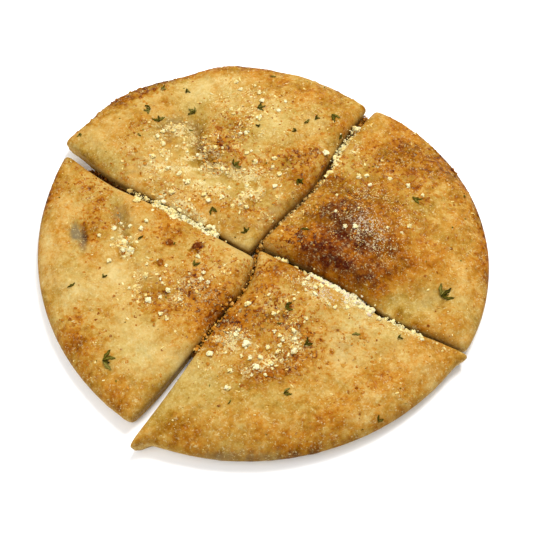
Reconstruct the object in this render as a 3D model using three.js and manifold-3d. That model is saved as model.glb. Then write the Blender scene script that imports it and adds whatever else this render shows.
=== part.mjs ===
// Garlic bread: a flat round bread, brushed with butter, strewn with grated hard cheese and
// dried parsley, and cut by two crossing cuts into four quarters that lie a little apart.
// Millimetres, +Z up. The origin is the middle of the flat underside, and +Y is the back.
import * as THREE from 'three';
import Module from 'manifold-3d';

const wasm = await Module();
wasm.setup();

// ---- Driving dimensions of the bread ----
const LOAF_RADIUS = 116; // about, from the middle to the rim
const CROWN_HEIGHT = 14; // the top between its swells
const RIM_GIRTH = 5.5; // height where the baked rim stands out furthest
const CUT_GIRTH = 9; // and where a cut side does
const RIM_ROLL = 19; // how far in the baked rim rounds over
const CUT_ROLL = 9; // how far in a cut edge rounds over
const ROLL_POWER = 2.2; // 2 is a quarter of an ellipse, and more is squarer
const RIM_UNDERCUT = 4.5; // how far the flat underside stays back from the baked rim
const CUT_UNDERCUT = 1.5; // and from a cut side
const CORNER_SOFTNESS = 1.1; // how much the corners of a quarter are rounded off
const ROLL_BLEND = 8; // how gradually a baked rim's roll turns into a cut edge's
const PATCH_STEPS = 12; // along each side of the three patches that make a quarter's top
const SIDE_STEPS = 2; // from the flat underside out to the girth
const EDGE_CROWDING = 1.5; // brings the steps closer together near an edge

// A cut runs out from the middle: its direction in degrees, how far to its left it passes
// the origin, its gap at the middle and at the rim, how late the gap opens, and its bows:
// [distance from the middle, reach, how far to the left].
const CUTS = {
  southEast: {
    turn: -30.9,
    across: -4.4,
    gap: [3, 1.6],
    late: 1,
    bows: [[78, 18, -2.6], [122, 14, 1.4]],
  },
  northEast: {
    turn: 54.6,
    across: 0.3,
    gap: [1.8, 4],
    late: 1,
    bows: [[42, 26, -4.2]],
  },
  northWest: {
    turn: 147.8,
    across: 10.3,
    gap: [1.6, 5],
    late: 1,
    bows: [[85, 20, 1.4], [120, 16, -2.8]],
  },
  southWest: {
    turn: 236.8,
    across: 7.2,
    gap: [1, 6],
    late: 3,
    bows: [[0, 14, -7.5], [32, 12, 1.5], [122, 16, -1.6]],
  },
};

// Each quarter lies to the left of its first cut and to the right of its second. The arc of
// its rim has a middle and a radius of its own, and nubs where the rim stands out or is
// flattened: [direction and half width in degrees, how far].
const QUARTERS = {
  slice_right: {
    cuts: ['southEast', 'northEast'],
    rimMiddle: [11, -5.5],
    rimRadius: 104.4,
    nubs: [[53, 5, -1]],
  },
  slice_back: {
    cuts: ['northEast', 'northWest'],
    rimMiddle: [-15, 12.5],
    rimRadius: 103,
    nubs: [[98, 7, 1.5], [114, 7, -2], [130, 8, 1.2], [148.5, 3, 1.5]],
  },
  slice_left: {
    cuts: ['northWest', 'southWest'],
    rimMiddle: [11.5, 5],
    rimRadius: 127,
    nubs: [],
  },
  slice_front: {
    cuts: ['southWest', 'southEast'],
    rimMiddle: [-7, 11.5],
    rimRadius: 128.5,
    nubs: [[241, 2.2, 6], [329, 3.5, 4.5]],
  },
};
const HEART_DISTANCE = 62; // from the middle of the bread to the middle of a quarter

// Bubbles and hollows of the crust: place, half widths, turn of the first one, and height.
const SWELLS = [
  { at: [2, 58], size: [30, 26], turn: 10, rise: 6.5 },
  { at: [-36, 74], size: [7, 22], turn: 8, rise: -3.2 },
  { at: [-27, 43], size: [16, 6], turn: -35, rise: -2.2 },
  { at: [-70, 62], size: [22, 15], turn: -40, rise: 3 },
  { at: [-8, 22], size: [20, 9], turn: 30, rise: 2 },
  { at: [36, 74], size: [20, 12], turn: -40, rise: 2.5 },
  { at: [48, 0], size: [34, 26], turn: 20, rise: 9 },
  { at: [74, -38], size: [18, 9], turn: 10, rise: -3.6 },
  { at: [92, 20], size: [12, 30], turn: 15, rise: 2.5 },
  { at: [98, -42], size: [8, 18], turn: 10, rise: 1.5 },
  { at: [-34, -18], size: [30, 15], turn: -30, rise: 4 },
  { at: [-92, 3], size: [7, 6.5], turn: 0, rise: -3.4 },
  { at: [-73, 14], size: [4.5, 20], turn: 10, rise: -3.4 },
  { at: [-96, -22], size: [12, 34], turn: 8, rise: 2.5 },
  { at: [-68, -56], size: [22, 28], turn: 30, rise: 2.2 },
  { at: [16, -42], size: [32, 16], turn: -32, rise: 5 },
  { at: [36, -70], size: [22, 9], turn: -20, rise: -1.6 },
  { at: [0, -100], size: [46, 13], turn: -2, rise: 3.5 },
  { at: [62, -84], size: [26, 12], turn: 38, rise: 2 },
];
// The unevenness between them: [height, crests for each millimetre along x and y, start].
const RIPPLES = [[0.45, 0.021, 0.034, 0.4], [0.4, -0.043, 0.026, 2.1], [0.3, 0.061, 0.049, 4.4],
  [0.22, -0.052, 0.081, 1.3]];

// ---- Driving dimensions of the toppings ----
// Sprigs and flakes of parsley: [x, y, length, turn in degrees, leaflets].
const PARSLEY = [
  [88, -34, 7, 35, 3], [-76, -70, 7, 5, 3], [77, 21, 6, -32, 2], [-3, 80, 5, 10, 3],
  [37, 74, 5.2, -42, 2], [-56, 72, 4.8, 100, 3], [-61, 81, 4.2, 200, 3], [11, -43, 4.4, 5, 2],
  [19, 1, 5, -12, 1], [-37, 80, 4.4, 150, 3], [43, -57, 4.6, 5, 1], [20, -62, 4.6, 38, 2],
  [-96, -31, 4.8, 32, 1], [-34, -20, 4.2, 60, 2], [10, -87, 4.4, 15, 2], [22, 68, 4.8, 47, 1],
  [18, 33, 4, -30, 3], [-15, 41, 4.2, 40, 3], [-26, 17, 4.4, -75, 2], [-8, 2, 3.4, 120, 3],
  [41, 61, 3.8, 62, 1], [54, -100, 3.4, 60, 2], [-63, -3, 3.8, 42, 1], [-42, 96, 3.2, -70, 2],
  [-56, 95, 3.2, 20, 2], [28, 71, 3.2, 35, 2], [4, 104, 3.6, 5, 1], [65, -58, 3, 25, 2],
  [-79, -25, 3, 70, 2], [-2, 64, 2.8, 110, 2], [18, 62, 2.8, 160, 2], [-98, 65, 2.8, 250, 2],
  [-16, -93, 3.2, 65, 1], [-40, 68, 2.8, 30, 1], [7, -51, 2.4, 0, 1], [-67, 63, 2.8, -40, 1],
];
const LEAFLET_SPREAD = 52; // degrees between the leaflets of one sprig
const LEAFLET_WIDTH = 0.36; // of its length
const LEAFLET_THICKNESS = 0.7;
const LEAFLET_SIDES = 4; // steps along each edge
const LEAFLET_WAVE = 0.25;

// The lumps of cheese that stand out: [x, y, across].
const LUMPS = [
  [-66, -9, 4], [-56, -37, 4], [-8, -61, 4], [52, -43, 4], [36, 50, 4], [-7, -41, 3.8],
  [-3, -73, 3.8], [15, -65, 3.6], [-2, 71, 3.6], [-65, 23, 3.6], [-58, -24, 3.4], [50, 34, 3.4],
  [-16, -84, 3.4], [-25, -66, 3.4], [-47, 27, 3.4], [-53, 57, 3.2], [-44, 38, 3.2],
  [-39, 33, 3.2], [-70, -3, 3], [57, -46, 3], [77, -57, 2.8], [-77, -15, 2.6],
];
// The rest lies in drifts: place, reach, and how many lumps.
const DRIFTS = [
  { at: [-12, 36], reach: 26, lumps: 22 },
  { at: [-6, 82], reach: 22, lumps: 10 },
  { at: [-48, 52], reach: 15, lumps: 8 },
  { at: [-70, 0], reach: 14, lumps: 10 },
  { at: [-46, -28], reach: 20, lumps: 14 },
  { at: [-2, -62], reach: 22, lumps: 20 },
  { at: [30, -42], reach: 20, lumps: 12 },
  { at: [58, 16], reach: 26, lumps: 12 },
];
const LARGEST_DRIFT_LUMP = 3;
const SMALLEST_DRIFT_LUMP = 1.7;
const LUMP_FLATNESS = 0.72;
const LUMP_SUNK = 0.12; // of its size, how far its middle lies above the crust
const TOPPING_CLEARANCE = 0.6; // of its size, between a topping and its neighbours
const LUMP_MARGIN = 0.7; // of its size, between the middle of a lump and an edge
const LEAFLET_MARGIN = 0.8; // between any end of a sprig and an edge
const NUDGE = 0.25; // the steps in which a topping moves in from an edge
const CRUST_COLOUR = 0xd9a452;
const SEED = 20;

const radians = THREE.MathUtils.degToRad;
const clamp = THREE.MathUtils.clamp;

/** Makes a repeatable source of random numbers from 0 to 1. */
function seededRandom(seed) {
  let state = seed;
  return () => {
    state = (state * 16807) % 2147483647;
    return state / 2147483647;
  };
}

/** How far a point lies to the left of a cut's middle line, and half the gap there. */
function besideCut(cut, x, y) {
  const turn = radians(cut.turn);
  const along = x * Math.cos(turn) + y * Math.sin(turn);
  const left = y * Math.cos(turn) - x * Math.sin(turn);
  let across = cut.across;
  for (const [at, reach, aside] of cut.bows) {
    across += aside * Math.exp(-(((along - at) / reach) ** 2));
  }
  const outwards = clamp(along / LOAF_RADIUS, 0, 1) ** cut.late;
  const gap = cut.gap[0] + (cut.gap[1] - cut.gap[0]) * outwards;
  return { left: left - across, halfGap: gap / 2 };
}

/** How far a point lies inside the baked rim of a quarter. */
function insideRim({ rimMiddle, rimRadius, nubs }, x, y) {
  const bearing = THREE.MathUtils.radToDeg(Math.atan2(y, x));
  let radius = rimRadius;
  for (const [turn, halfWidth, height] of nubs) {
    const away = THREE.MathUtils.euclideanModulo(bearing - turn + 180, 360) - 180;
    radius += height * Math.exp(-((away / halfWidth) ** 2));
  }
  return radius - Math.hypot(x - rimMiddle[0], y - rimMiddle[1]);
}

/** Distances from a point inside a quarter to its first cut, its second cut and its rim. */
function edgeDistances(quarter, x, y) {
  const shape = QUARTERS[quarter];
  const [first, second] = shape.cuts.map((name) => besideCut(CUTS[name], x, y));
  return [first.left - first.halfGap, -second.left - second.halfGap, insideRim(shape, x, y)];
}

/** Distance from a point to the rounded outline of a quarter, more than 0 inside it. */
function inset(quarter, x, y) {
  const distances = edgeDistances(quarter, x, y);
  const nearest = Math.min(...distances);
  const sum = distances.reduce((total, d) => total + Math.exp((nearest - d) / CORNER_SOFTNESS), 0);
  return nearest - CORNER_SOFTNESS * Math.log(sum);
}

/** 1 beside the baked rim, 0 beside a cut, and between them near a corner. */
function rimShare(quarter, x, y) {
  const distances = edgeDistances(quarter, x, y);
  const nearest = Math.min(...distances);
  const weights = distances.map((d) => Math.exp((nearest - d) / ROLL_BLEND));
  return weights[2] / (weights[0] + weights[1] + weights[2]);
}

/** Height of the crust's top where no edge is near. */
function crown(x, y) {
  let height = CROWN_HEIGHT;
  for (const { at, size, turn, rise } of SWELLS) {
    const c = Math.cos(radians(turn));
    const s = Math.sin(radians(turn));
    const u = ((x - at[0]) * c + (y - at[1]) * s) / size[0];
    const v = ((y - at[1]) * c - (x - at[0]) * s) / size[1];
    height += rise * Math.exp(-u * u - v * v);
  }
  for (const [size, alongX, alongY, start] of RIPPLES) {
    height += size * Math.sin(2 * Math.PI * (alongX * x + alongY * y) + start);
  }
  return height;
}

/** A measure that differs between the baked rim and a cut side, at a point near an edge. */
function besideEdge(quarter, x, y, atCut, atRim) {
  return atCut + (atRim - atCut) * rimShare(quarter, x, y);
}

/** Height of a quarter's top at a point. */
function topHeight(quarter, x, y) {
  const girth = besideEdge(quarter, x, y, CUT_GIRTH, RIM_GIRTH);
  const roll = besideEdge(quarter, x, y, CUT_ROLL, RIM_ROLL);
  const open = 1 - clamp(inset(quarter, x, y) / roll, 0, 1);
  const lift = (1 - open ** ROLL_POWER) ** (1 / ROLL_POWER);
  return girth + (crown(x, y) - girth) * lift;
}

/** The directions of a quarter's two cuts, and the one midway between them, in radians. */
function bearings(quarter) {
  const [first, second] = QUARTERS[quarter].cuts.map((name) => radians(CUTS[name].turn));
  const turn = THREE.MathUtils.euclideanModulo(second - first, 2 * Math.PI);
  return { first, second: first + turn, middle: first + turn / 2 };
}

/** The middle of a quarter, from which its outline is seen all round. */
function heartOf(quarter) {
  const { middle } = bearings(quarter);
  return [HEART_DISTANCE * Math.cos(middle), HEART_DISTANCE * Math.sin(middle)];
}

/** The point of a quarter's outline that its heart sees in a direction. */
function outlinePoint(quarter, angle) {
  const [x, y] = heartOf(quarter);
  let inside = 0;
  let outside = 2 * LOAF_RADIUS;
  for (let halving = 0; halving < 40; halving++) {
    const reach = (inside + outside) / 2;
    if (inset(quarter, x + reach * Math.cos(angle), y + reach * Math.sin(angle)) > 0) inside = reach;
    else outside = reach;
  }
  return [x + inside * Math.cos(angle), y + inside * Math.sin(angle)];
}

/**
 * A quarter's outline at its girth as six stretches, each from a corner to a middle of a side
 * or back, the tip's corner first. Points crowd towards the corners.
 */
function outlineStretches(quarter, steps) {
  const RAYS = 60;
  const { first, second, middle } = bearings(quarter);
  const heart = heartOf(quarter);
  const seen = (bearing) => Math.atan2(LOAF_RADIUS * Math.sin(bearing) - heart[1],
    LOAF_RADIUS * Math.cos(bearing) - heart[0]);
  const stations = [middle + Math.PI, first - Math.PI / 2, seen(first), middle, seen(second),
    second + Math.PI / 2];
  return stations.map((start, k) => {
    const turn = THREE.MathUtils.euclideanModulo(stations[(k + 1) % 6] - start, 2 * Math.PI);
    const fine = [];
    for (let i = 0; i <= RAYS; i++) fine.push(outlinePoint(quarter, start + (turn * i) / RAYS));
    const travelled = [0];
    for (let i = 0; i < RAYS; i++) {
      const [a, b] = [fine[i], fine[i + 1]];
      travelled.push(travelled[i] + Math.hypot(b[0] - a[0], b[1] - a[1]));
    }
    const points = [];
    for (let i = 0; i <= steps; i++) {
      const part = k % 2 === 0 ? crowded(i / steps) : 1 - crowded(1 - i / steps);
      const target = part * travelled[RAYS];
      const j = clamp(travelled.findIndex((distance) => distance >= target), 1, RAYS);
      const share = (target - travelled[j - 1]) / (travelled[j] - travelled[j - 1]);
      points.push(between(fine[j - 1], fine[j], share));
    }
    return points;
  });
}

/** Brings evenly spaced shares from 0 to 1 closer together near 0. */
function crowded(share) {
  return share ** EDGE_CROWDING;
}

/** A point part of the way from one to another. */
function between(a, b, part) {
  return a.map((value, axis) => value + part * (b[axis] - value));
}

/** A closed solid from its vertices and triangles. */
function solid(vertices, triangles) {
  const mesh = new wasm.Mesh({
    numProp: 3,
    vertProperties: new Float32Array(vertices.flat()),
    triVerts: new Uint32Array(triangles.flat()),
  });
  return new wasm.Manifold(mesh);
}

/** One quarter of the bread: three patches that meet at its heart, its side and its underside. */
function quarterBread(quarter) {
  const stretches = outlineStretches(quarter, PATCH_STEPS);
  const heart = heartOf(quarter);
  const vertices = [];
  const triangles = [];
  const known = new Map();
  const vertex = (x, y, z) => {
    const key = [x, y, z].map((value) => value.toFixed(3)).join();
    if (!known.has(key)) known.set(key, vertices.push([x, y, z]) - 1);
    return known.get(key);
  };
  // Under a point of the outline: 0 is the edge of the flat underside, and 1 is the girth.
  const sideVertex = (x, y, rise) => {
    const turn = rise * (Math.PI / 2);
    const undercut = besideEdge(quarter, x, y, CUT_UNDERCUT, RIM_UNDERCUT);
    const girth = besideEdge(quarter, x, y, CUT_GIRTH, RIM_GIRTH);
    const back = (undercut * (1 - Math.sin(turn))) / Math.hypot(heart[0] - x, heart[1] - y);
    return vertex(...between([x, y], heart, back), girth * (1 - Math.cos(turn)));
  };
  const grid = (columns, rows, at) => {
    for (let i = 0; i < columns; i++) {
      for (let j = 0; j < rows; j++) {
        const [a, b, c, d] = [at(i, j), at(i + 1, j), at(i + 1, j + 1), at(i, j + 1)];
        triangles.push([a, b, c], [a, c, d]);
      }
    }
  };

  for (const corner of [0, 2, 4]) {
    const onwards = stretches[corner];
    const backwards = [...stretches[(corner + 5) % 6]].reverse();
    const ends = [onwards[0], onwards[PATCH_STEPS], backwards[PATCH_STEPS], heart];
    grid(PATCH_STEPS, PATCH_STEPS, (i, j) => {
      const [u, v] = [crowded(i / PATCH_STEPS), crowded(j / PATCH_STEPS)];
      const [x, y] = [0, 1].map((axis) => {
        const [corner0, corner1, corner2, corner3] = ends.map((point) => point[axis]);
        const lengthwise = (1 - v) * onwards[i][axis] + v * (corner2 + u * (corner3 - corner2));
        const crosswise = (1 - u) * backwards[j][axis] + u * (corner1 + v * (corner3 - corner1));
        const level = (1 - v) * (corner0 + u * (corner1 - corner0))
          + v * (corner2 + u * (corner3 - corner2));
        return lengthwise + crosswise - level;
      });
      return i * j === 0 ? sideVertex(x, y, 1) : vertex(x, y, topHeight(quarter, x, y));
    });
  }

  const outline = stretches.flatMap((points) => points.slice(1));
  const sidePoint = (i, j) => sideVertex(...outline[i % outline.length], j / SIDE_STEPS);
  grid(outline.length, SIDE_STEPS, sidePoint);
  const bottom = vertex(...heart, 0);
  outline.forEach((_, i) => triangles.push([bottom, sidePoint(i + 1, 0), sidePoint(i, 0)]));
  return solid(vertices, triangles);
}

/** Height of the facet of a quarter's bare crust that lies under a point. */
function facetHeight(crust, x, y) {
  const above = new THREE.Vector3(x, y, 2 * LOAF_RADIUS);
  const [facet] = new THREE.Raycaster(above, new THREE.Vector3(0, 0, -1)).intersectObject(crust);
  return facet.point.z;
}

/** An uneven lump of cheese, half sunk into the crust. */
function lumpSolid(crust, [x, y, across], random) {
  const ball = new THREE.IcosahedronGeometry(across / 2, 0);
  const position = ball.attributes.position;
  const spin = random() * 2 * Math.PI;
  const corners = new Map();
  const vertices = [];
  const triangles = [];
  const middle = facetHeight(crust, x, y) + LUMP_SUNK * across;
  for (let i = 0; i < position.count; i++) {
    const p = new THREE.Vector3().fromBufferAttribute(position, i);
    const key = p.toArray().map((value) => value.toFixed(3)).join();
    if (!corners.has(key)) {
      const swell = 0.8 + 0.35 * random();
      p.applyAxisAngle(new THREE.Vector3(0, 0, 1), spin).multiplyScalar(swell);
      corners.set(key, vertices.push([x + p.x, y + p.y, middle + LUMP_FLATNESS * p.z]) - 1);
    }
    if (i % 3 === 0) triangles.push([]);
    triangles[triangles.length - 1].push(corners.get(key));
  }
  return solid(vertices, triangles);
}

/** A thin wavy leaflet that follows the crust, from its stalk end outwards. */
function leafletSolid(crust, [x, y], length, turn) {
  const [c, s] = [Math.cos(radians(turn)), Math.sin(radians(turn))];
  const rim = [];
  for (let i = 0; i < 2 * LEAFLET_SIDES; i++) {
    const angle = (i / LEAFLET_SIDES) * Math.PI;
    const along = (length * (1 + Math.cos(angle))) / 2;
    const across = (LEAFLET_WIDTH * length * Math.sin(angle)) / 2;
    rim.push([x + along * c - across * s, y + along * s + across * c, along / length]);
  }
  const vertices = [];
  for (const side of [-0.5, 0.5]) {
    for (const [px, py, part] of [...rim, [x + (length / 2) * c, y + (length / 2) * s, 0.5]]) {
      const wave = LEAFLET_WAVE * Math.sin(part * 2 * Math.PI);
      vertices.push([px, py, facetHeight(crust, px, py) + wave + side * LEAFLET_THICKNESS]);
    }
  }
  const count = rim.length;
  const triangles = [];
  for (let i = 0; i < count; i++) {
    const next = (i + 1) % count;
    const [low, high] = [0, count + 1];
    triangles.push([low + count, low + next, low + i], [high + count, high + i, high + next]);
    triangles.push([low + i, low + next, high + next], [low + i, high + next, high + i]);
  }
  return solid(vertices, triangles);
}

/** The quarter that a point lies deepest in. */
function quarterUnder(x, y) {
  const deeper = (a, b) => (inset(b, x, y) > inset(a, x, y) ? b : a);
  return Object.keys(QUARTERS).reduce(deeper);
}

/** The quarter for a topping, and its place there, moved in until no edge is near its ends. */
function settle(x, y, margin, ends = [[0, 0]]) {
  const quarter = quarterUnder(x, y);
  const heart = heartOf(quarter);
  const place = [x, y];
  while (ends.some(([dx, dy]) => inset(quarter, place[0] + dx, place[1] + dy) < margin)) {
    const away = Math.hypot(heart[0] - place[0], heart[1] - place[1]);
    place[0] += (NUDGE * (heart[0] - place[0])) / away;
    place[1] += (NUDGE * (heart[1] - place[1])) / away;
  }
  return { quarter, place };
}

/** Every lump of cheese, the largest first: those that stand out, and then the drifts. */
function allLumps(random) {
  const lumps = [...LUMPS];
  const taken = [...LUMPS, ...PARSLEY];
  for (const { at, reach, lumps: count } of DRIFTS) {
    let placed = 0;
    while (placed < count) {
      const across = LARGEST_DRIFT_LUMP
        + (SMALLEST_DRIFT_LUMP - LARGEST_DRIFT_LUMP) * (placed / (count - 1));
      const angle = random() * 2 * Math.PI;
      const away = reach * Math.sqrt(random());
      const [x, y] = [at[0] + away * Math.cos(angle), at[1] + away * Math.sin(angle)];
      const clear = taken.every(([px, py, size]) =>
        Math.hypot(px - x, py - y) > TOPPING_CLEARANCE * (size + across));
      if (clear && inset(quarterUnder(x, y), x, y) > across) {
        lumps.push([x, y, across]);
        taken.push([x, y, across]);
        placed++;
      }
    }
  }
  return lumps;
}

/** A named mesh from a solid. */
function mesh(name, body, material) {
  const { numProp, vertProperties, triVerts } = body.getMesh();
  const geometry = new THREE.BufferGeometry();
  const positions = new Float32Array((vertProperties.length / numProp) * 3);
  for (let i = 0; i < positions.length; i++) {
    positions[i] = vertProperties[Math.floor(i / 3) * numProp + (i % 3)];
  }
  geometry.setAttribute('position', new THREE.BufferAttribute(positions, 3));
  geometry.setIndex(new THREE.BufferAttribute(new Uint32Array(triVerts), 1));
  geometry.computeVertexNormals();
  const piece = new THREE.Mesh(geometry, material);
  piece.name = name;
  return piece;
}

const baked = new THREE.MeshStandardMaterial({ color: CRUST_COLOUR, roughness: 0.6, metalness: 0 });
const quarters = {};
for (const name of Object.keys(QUARTERS)) {
  const body = quarterBread(name);
  quarters[name] = { body, crust: mesh(name, body, baked) };
}

const random = seededRandom(SEED);
for (const [x, y, across] of allLumps(random)) {
  const { quarter, place } = settle(x, y, LUMP_MARGIN * across);
  const lump = lumpSolid(quarters[quarter].crust, [...place, across], random);
  quarters[quarter].body = quarters[quarter].body.add(lump);
}
for (const [x, y, length, turn, leaflets] of PARSLEY) {
  const bearings = [];
  for (let i = 0; i < leaflets; i++) bearings.push(turn + (i - (leaflets - 1) / 2) * LEAFLET_SPREAD);
  const tips = bearings.map((bearing) =>
    [length * Math.cos(radians(bearing)), length * Math.sin(radians(bearing))]);
  const { quarter, place } = settle(x, y, LEAFLET_MARGIN, [[0, 0], ...tips]);
  for (const bearing of bearings) {
    const leaflet = leafletSolid(quarters[quarter].crust, place, length, bearing);
    quarters[quarter].body = quarters[quarter].body.add(leaflet);
  }
}

const bread = new THREE.Group();
for (const [name, { body }] of Object.entries(quarters)) bread.add(mesh(name, body, baked));

export default bread;
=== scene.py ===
"""Looks of a round garlic bread that is cut into four quarter slices.

Sizes and places are millimetres on the bread until a mesh is made, which is in metres. The
bread lies on the floor z = 0, with the middle of its underside at the origin and +Y at the back.
"""
from math import cos, pi, radians, sin

import bmesh
import bpy
import numpy as np
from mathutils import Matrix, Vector


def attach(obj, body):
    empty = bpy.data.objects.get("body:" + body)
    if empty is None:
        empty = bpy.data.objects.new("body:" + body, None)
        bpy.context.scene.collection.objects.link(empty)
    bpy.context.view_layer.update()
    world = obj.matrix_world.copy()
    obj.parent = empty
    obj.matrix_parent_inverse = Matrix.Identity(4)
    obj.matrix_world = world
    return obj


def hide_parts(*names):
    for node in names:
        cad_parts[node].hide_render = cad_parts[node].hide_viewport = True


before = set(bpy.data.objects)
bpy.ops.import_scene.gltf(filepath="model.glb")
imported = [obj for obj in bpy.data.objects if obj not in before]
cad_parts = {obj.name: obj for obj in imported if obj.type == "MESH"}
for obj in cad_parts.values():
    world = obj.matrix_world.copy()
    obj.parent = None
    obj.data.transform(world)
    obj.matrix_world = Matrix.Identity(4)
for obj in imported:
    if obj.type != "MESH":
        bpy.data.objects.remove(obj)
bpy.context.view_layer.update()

MM = 0.001

# ---- The form of the bread, as in the solids ----
LOAF_RADIUS = 116
CROWN_HEIGHT = 14
RIM_GIRTH, CUT_GIRTH = 5.5, 9
RIM_ROLL, CUT_ROLL = 19, 9
ROLL_POWER = 2.2
RIM_UNDERCUT, CUT_UNDERCUT = 4.5, 1.5
CORNER_SOFTNESS = 1.1
ROLL_BLEND = 8
HEART_DISTANCE = 62

# A cut: its direction, how far to its left it passes the origin, its gap at the middle and at
# the rim, how late the gap opens, and its bows (distance, reach, how far to the left).
CUTS = {
    "southEast": dict(turn=-30.9, across=-4.4, gap=(3, 1.6), late=1,
                      bows=((78, 18, -2.6), (122, 14, 1.4))),
    "northEast": dict(turn=54.6, across=0.3, gap=(1.8, 4), late=1, bows=((42, 26, -4.2),)),
    "northWest": dict(turn=147.8, across=10.3, gap=(1.6, 5), late=1,
                      bows=((85, 20, 1.4), (120, 16, -2.8))),
    "southWest": dict(turn=236.8, across=7.2, gap=(1, 6), late=3,
                      bows=((0, 14, -7.5), (32, 12, 1.5), (122, 16, -1.6))),
}
# A slice: its two cuts, the arc of its rim, and nubs of the rim (direction, half width, height).
SLICES = {
    "slice_right": dict(cuts=("southEast", "northEast"), rim_middle=(11, -5.5),
                        rim_radius=104.4, nubs=((53, 5, -1),)),
    "slice_back": dict(cuts=("northEast", "northWest"), rim_middle=(-15, 12.5), rim_radius=103,
                       nubs=((98, 7, 1.5), (114, 7, -2), (130, 8, 1.2), (148.5, 3, 1.5))),
    "slice_left": dict(cuts=("northWest", "southWest"), rim_middle=(11.5, 5), rim_radius=127,
                       nubs=()),
    "slice_front": dict(cuts=("southWest", "southEast"), rim_middle=(-7, 11.5),
                        rim_radius=128.5, nubs=((241, 2.2, 6), (329, 3.5, 4.5))),
}
# Bubbles and hollows are ovals: x, y, half widths, height, and the turn of those that have one.
SWELLS = (
    (2, 58, 30, 26, 6.5, 10), (-36, 74, 7, 22, -3.2, 8), (-27, 43, 16, 6, -2.2, -35),
    (-70, 62, 22, 15, 3, -40), (-8, 22, 20, 9, 2, 30), (36, 74, 20, 12, 2.5, -40),
    (48, 0, 34, 26, 9, 20), (74, -38, 18, 9, -3.6, 10), (92, 20, 12, 30, 2.5, 15),
    (98, -42, 8, 18, 1.5, 10), (-34, -18, 30, 15, 4, -30), (-92, 3, 7, 6.5, -3.4),
    (-73, 14, 4.5, 20, -3.4, 10), (-96, -22, 12, 34, 2.5, 8), (-68, -56, 22, 28, 2.2, 30),
    (16, -42, 32, 16, 5, -32), (36, -70, 22, 9, -1.6, -20), (0, -100, 46, 13, 3.5, -2),
    (62, -84, 26, 12, 2, 38),
)
# The unevenness between them: height, crests for each millimetre along x and y, start.
RIPPLES = ((0.45, 0.021, 0.034, 0.4), (0.4, -0.043, 0.026, 2.1), (0.3, 0.061, 0.049, 4.4),
           (0.22, -0.052, 0.081, 1.3))

# ---- The toppings that the solids have ----
# Sprigs and flakes of parsley: x, y, length, turn, leaflets.
PARSLEY = (
    (88, -34, 7, 35, 3), (-76, -70, 7, 5, 3), (77, 21, 6, -32, 2), (-3, 80, 5, 10, 3),
    (37, 74, 5.2, -42, 2), (-56, 72, 4.8, 100, 3), (-61, 81, 4.2, 200, 3), (11, -43, 4.4, 5, 2),
    (19, 1, 5, -12, 1), (-37, 80, 4.4, 150, 3), (43, -57, 4.6, 5, 1), (20, -62, 4.6, 38, 2),
    (-96, -31, 4.8, 32, 1), (-34, -20, 4.2, 60, 2), (10, -87, 4.4, 15, 2), (22, 68, 4.8, 47, 1),
    (18, 33, 4, -30, 3), (-15, 41, 4.2, 40, 3), (-26, 17, 4.4, -75, 2), (-8, 2, 3.4, 120, 3),
    (41, 61, 3.8, 62, 1), (54, -100, 3.4, 60, 2), (-63, -3, 3.8, 42, 1), (-42, 96, 3.2, -70, 2),
    (-56, 95, 3.2, 20, 2), (28, 71, 3.2, 35, 2), (4, 104, 3.6, 5, 1), (65, -58, 3, 25, 2),
    (-79, -25, 3, 70, 2), (-2, 64, 2.8, 110, 2), (18, 62, 2.8, 160, 2), (-98, 65, 2.8, 250, 2),
    (-16, -93, 3.2, 65, 1), (-40, 68, 2.8, 30, 1), (7, -51, 2.4, 0, 1), (-67, 63, 2.8, -40, 1),
)
LEAFLET_SPREAD = 52
LEAFLET_WIDTH = 0.36
LEAFLET_THICKNESS = 0.45
LEAFLET_MARGIN = 0.8
LOBE_LENGTH, SMALL_LOBE_LENGTH = 0.92, 0.56
# The lumps of cheese that stand out: x, y, across. The rest lies in drifts: x, y, reach, count.
LUMPS = (
    (-66, -9, 4), (-56, -37, 4), (-8, -61, 4), (52, -43, 4), (36, 50, 4), (-7, -41, 3.8),
    (-3, -73, 3.8), (15, -65, 3.6), (-2, 71, 3.6), (-65, 23, 3.6), (-58, -24, 3.4), (50, 34, 3.4),
    (-16, -84, 3.4), (-25, -66, 3.4), (-47, 27, 3.4), (-53, 57, 3.2), (-44, 38, 3.2),
    (-39, 33, 3.2), (-70, -3, 3), (57, -46, 3), (77, -57, 2.8), (-77, -15, 2.6),
)
DRIFTS = (
    (-12, 36, 26, 22), (-6, 82, 22, 10), (-48, 52, 15, 8), (-70, 0, 14, 10), (-46, -28, 20, 14),
    (-2, -62, 22, 20), (30, -42, 20, 12), (58, 16, 26, 12),
)
LARGEST_DRIFT_LUMP, SMALLEST_DRIFT_LUMP = 3, 1.7
LUMP_FLATNESS = 0.72
LUMP_SUNK = 0.12
TOPPING_CLEARANCE = 0.6
LUMP_MARGIN = 0.7
NUDGE = 0.25
TOPPING_SEED = 20

# ---- How finely the crust is made ----
PATCH_STEPS = 120
SIDE_RINGS = 14
EDGE_CROWDING = 1.2
OUTLINE_RAYS = 700
OUTLINE_HALVINGS = 36
OUTLINE_MARGIN = 0.15
SEAM = 0.002

# ---- The relief of the crust ----
# Hills are rows of (size, height, seed), and round spots rows of (cell, share, height, seed).
# LOW is how far the crust between the spots lies below the form, so that it stays inside it.
LOW = 0.45
HILLS = ((13, 0.55, 31), (6, 0.35, 32), (2.8, 0.225, 33), (1.3, 0.125, 34))
PIMPLES = ((3.4, 0.35, 0.3, 51), (2.1, 0.4, 0.25, 55))
# Blisters near the rim: how far from the edge they are at their full height, how fast they
# fade out inwards, and how high they are on a plain rim and how much higher on a scorched one.
BLISTERS = ((3, 0.4, 0.9, 61), (1.9, 0.4, 0.5, 65))
BLISTERS_BEGIN, BLISTERS_REACH = 1.5, 9
PLAIN_BLISTERS, SCORCHED_BLISTERS = 0.7, 3.6
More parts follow.
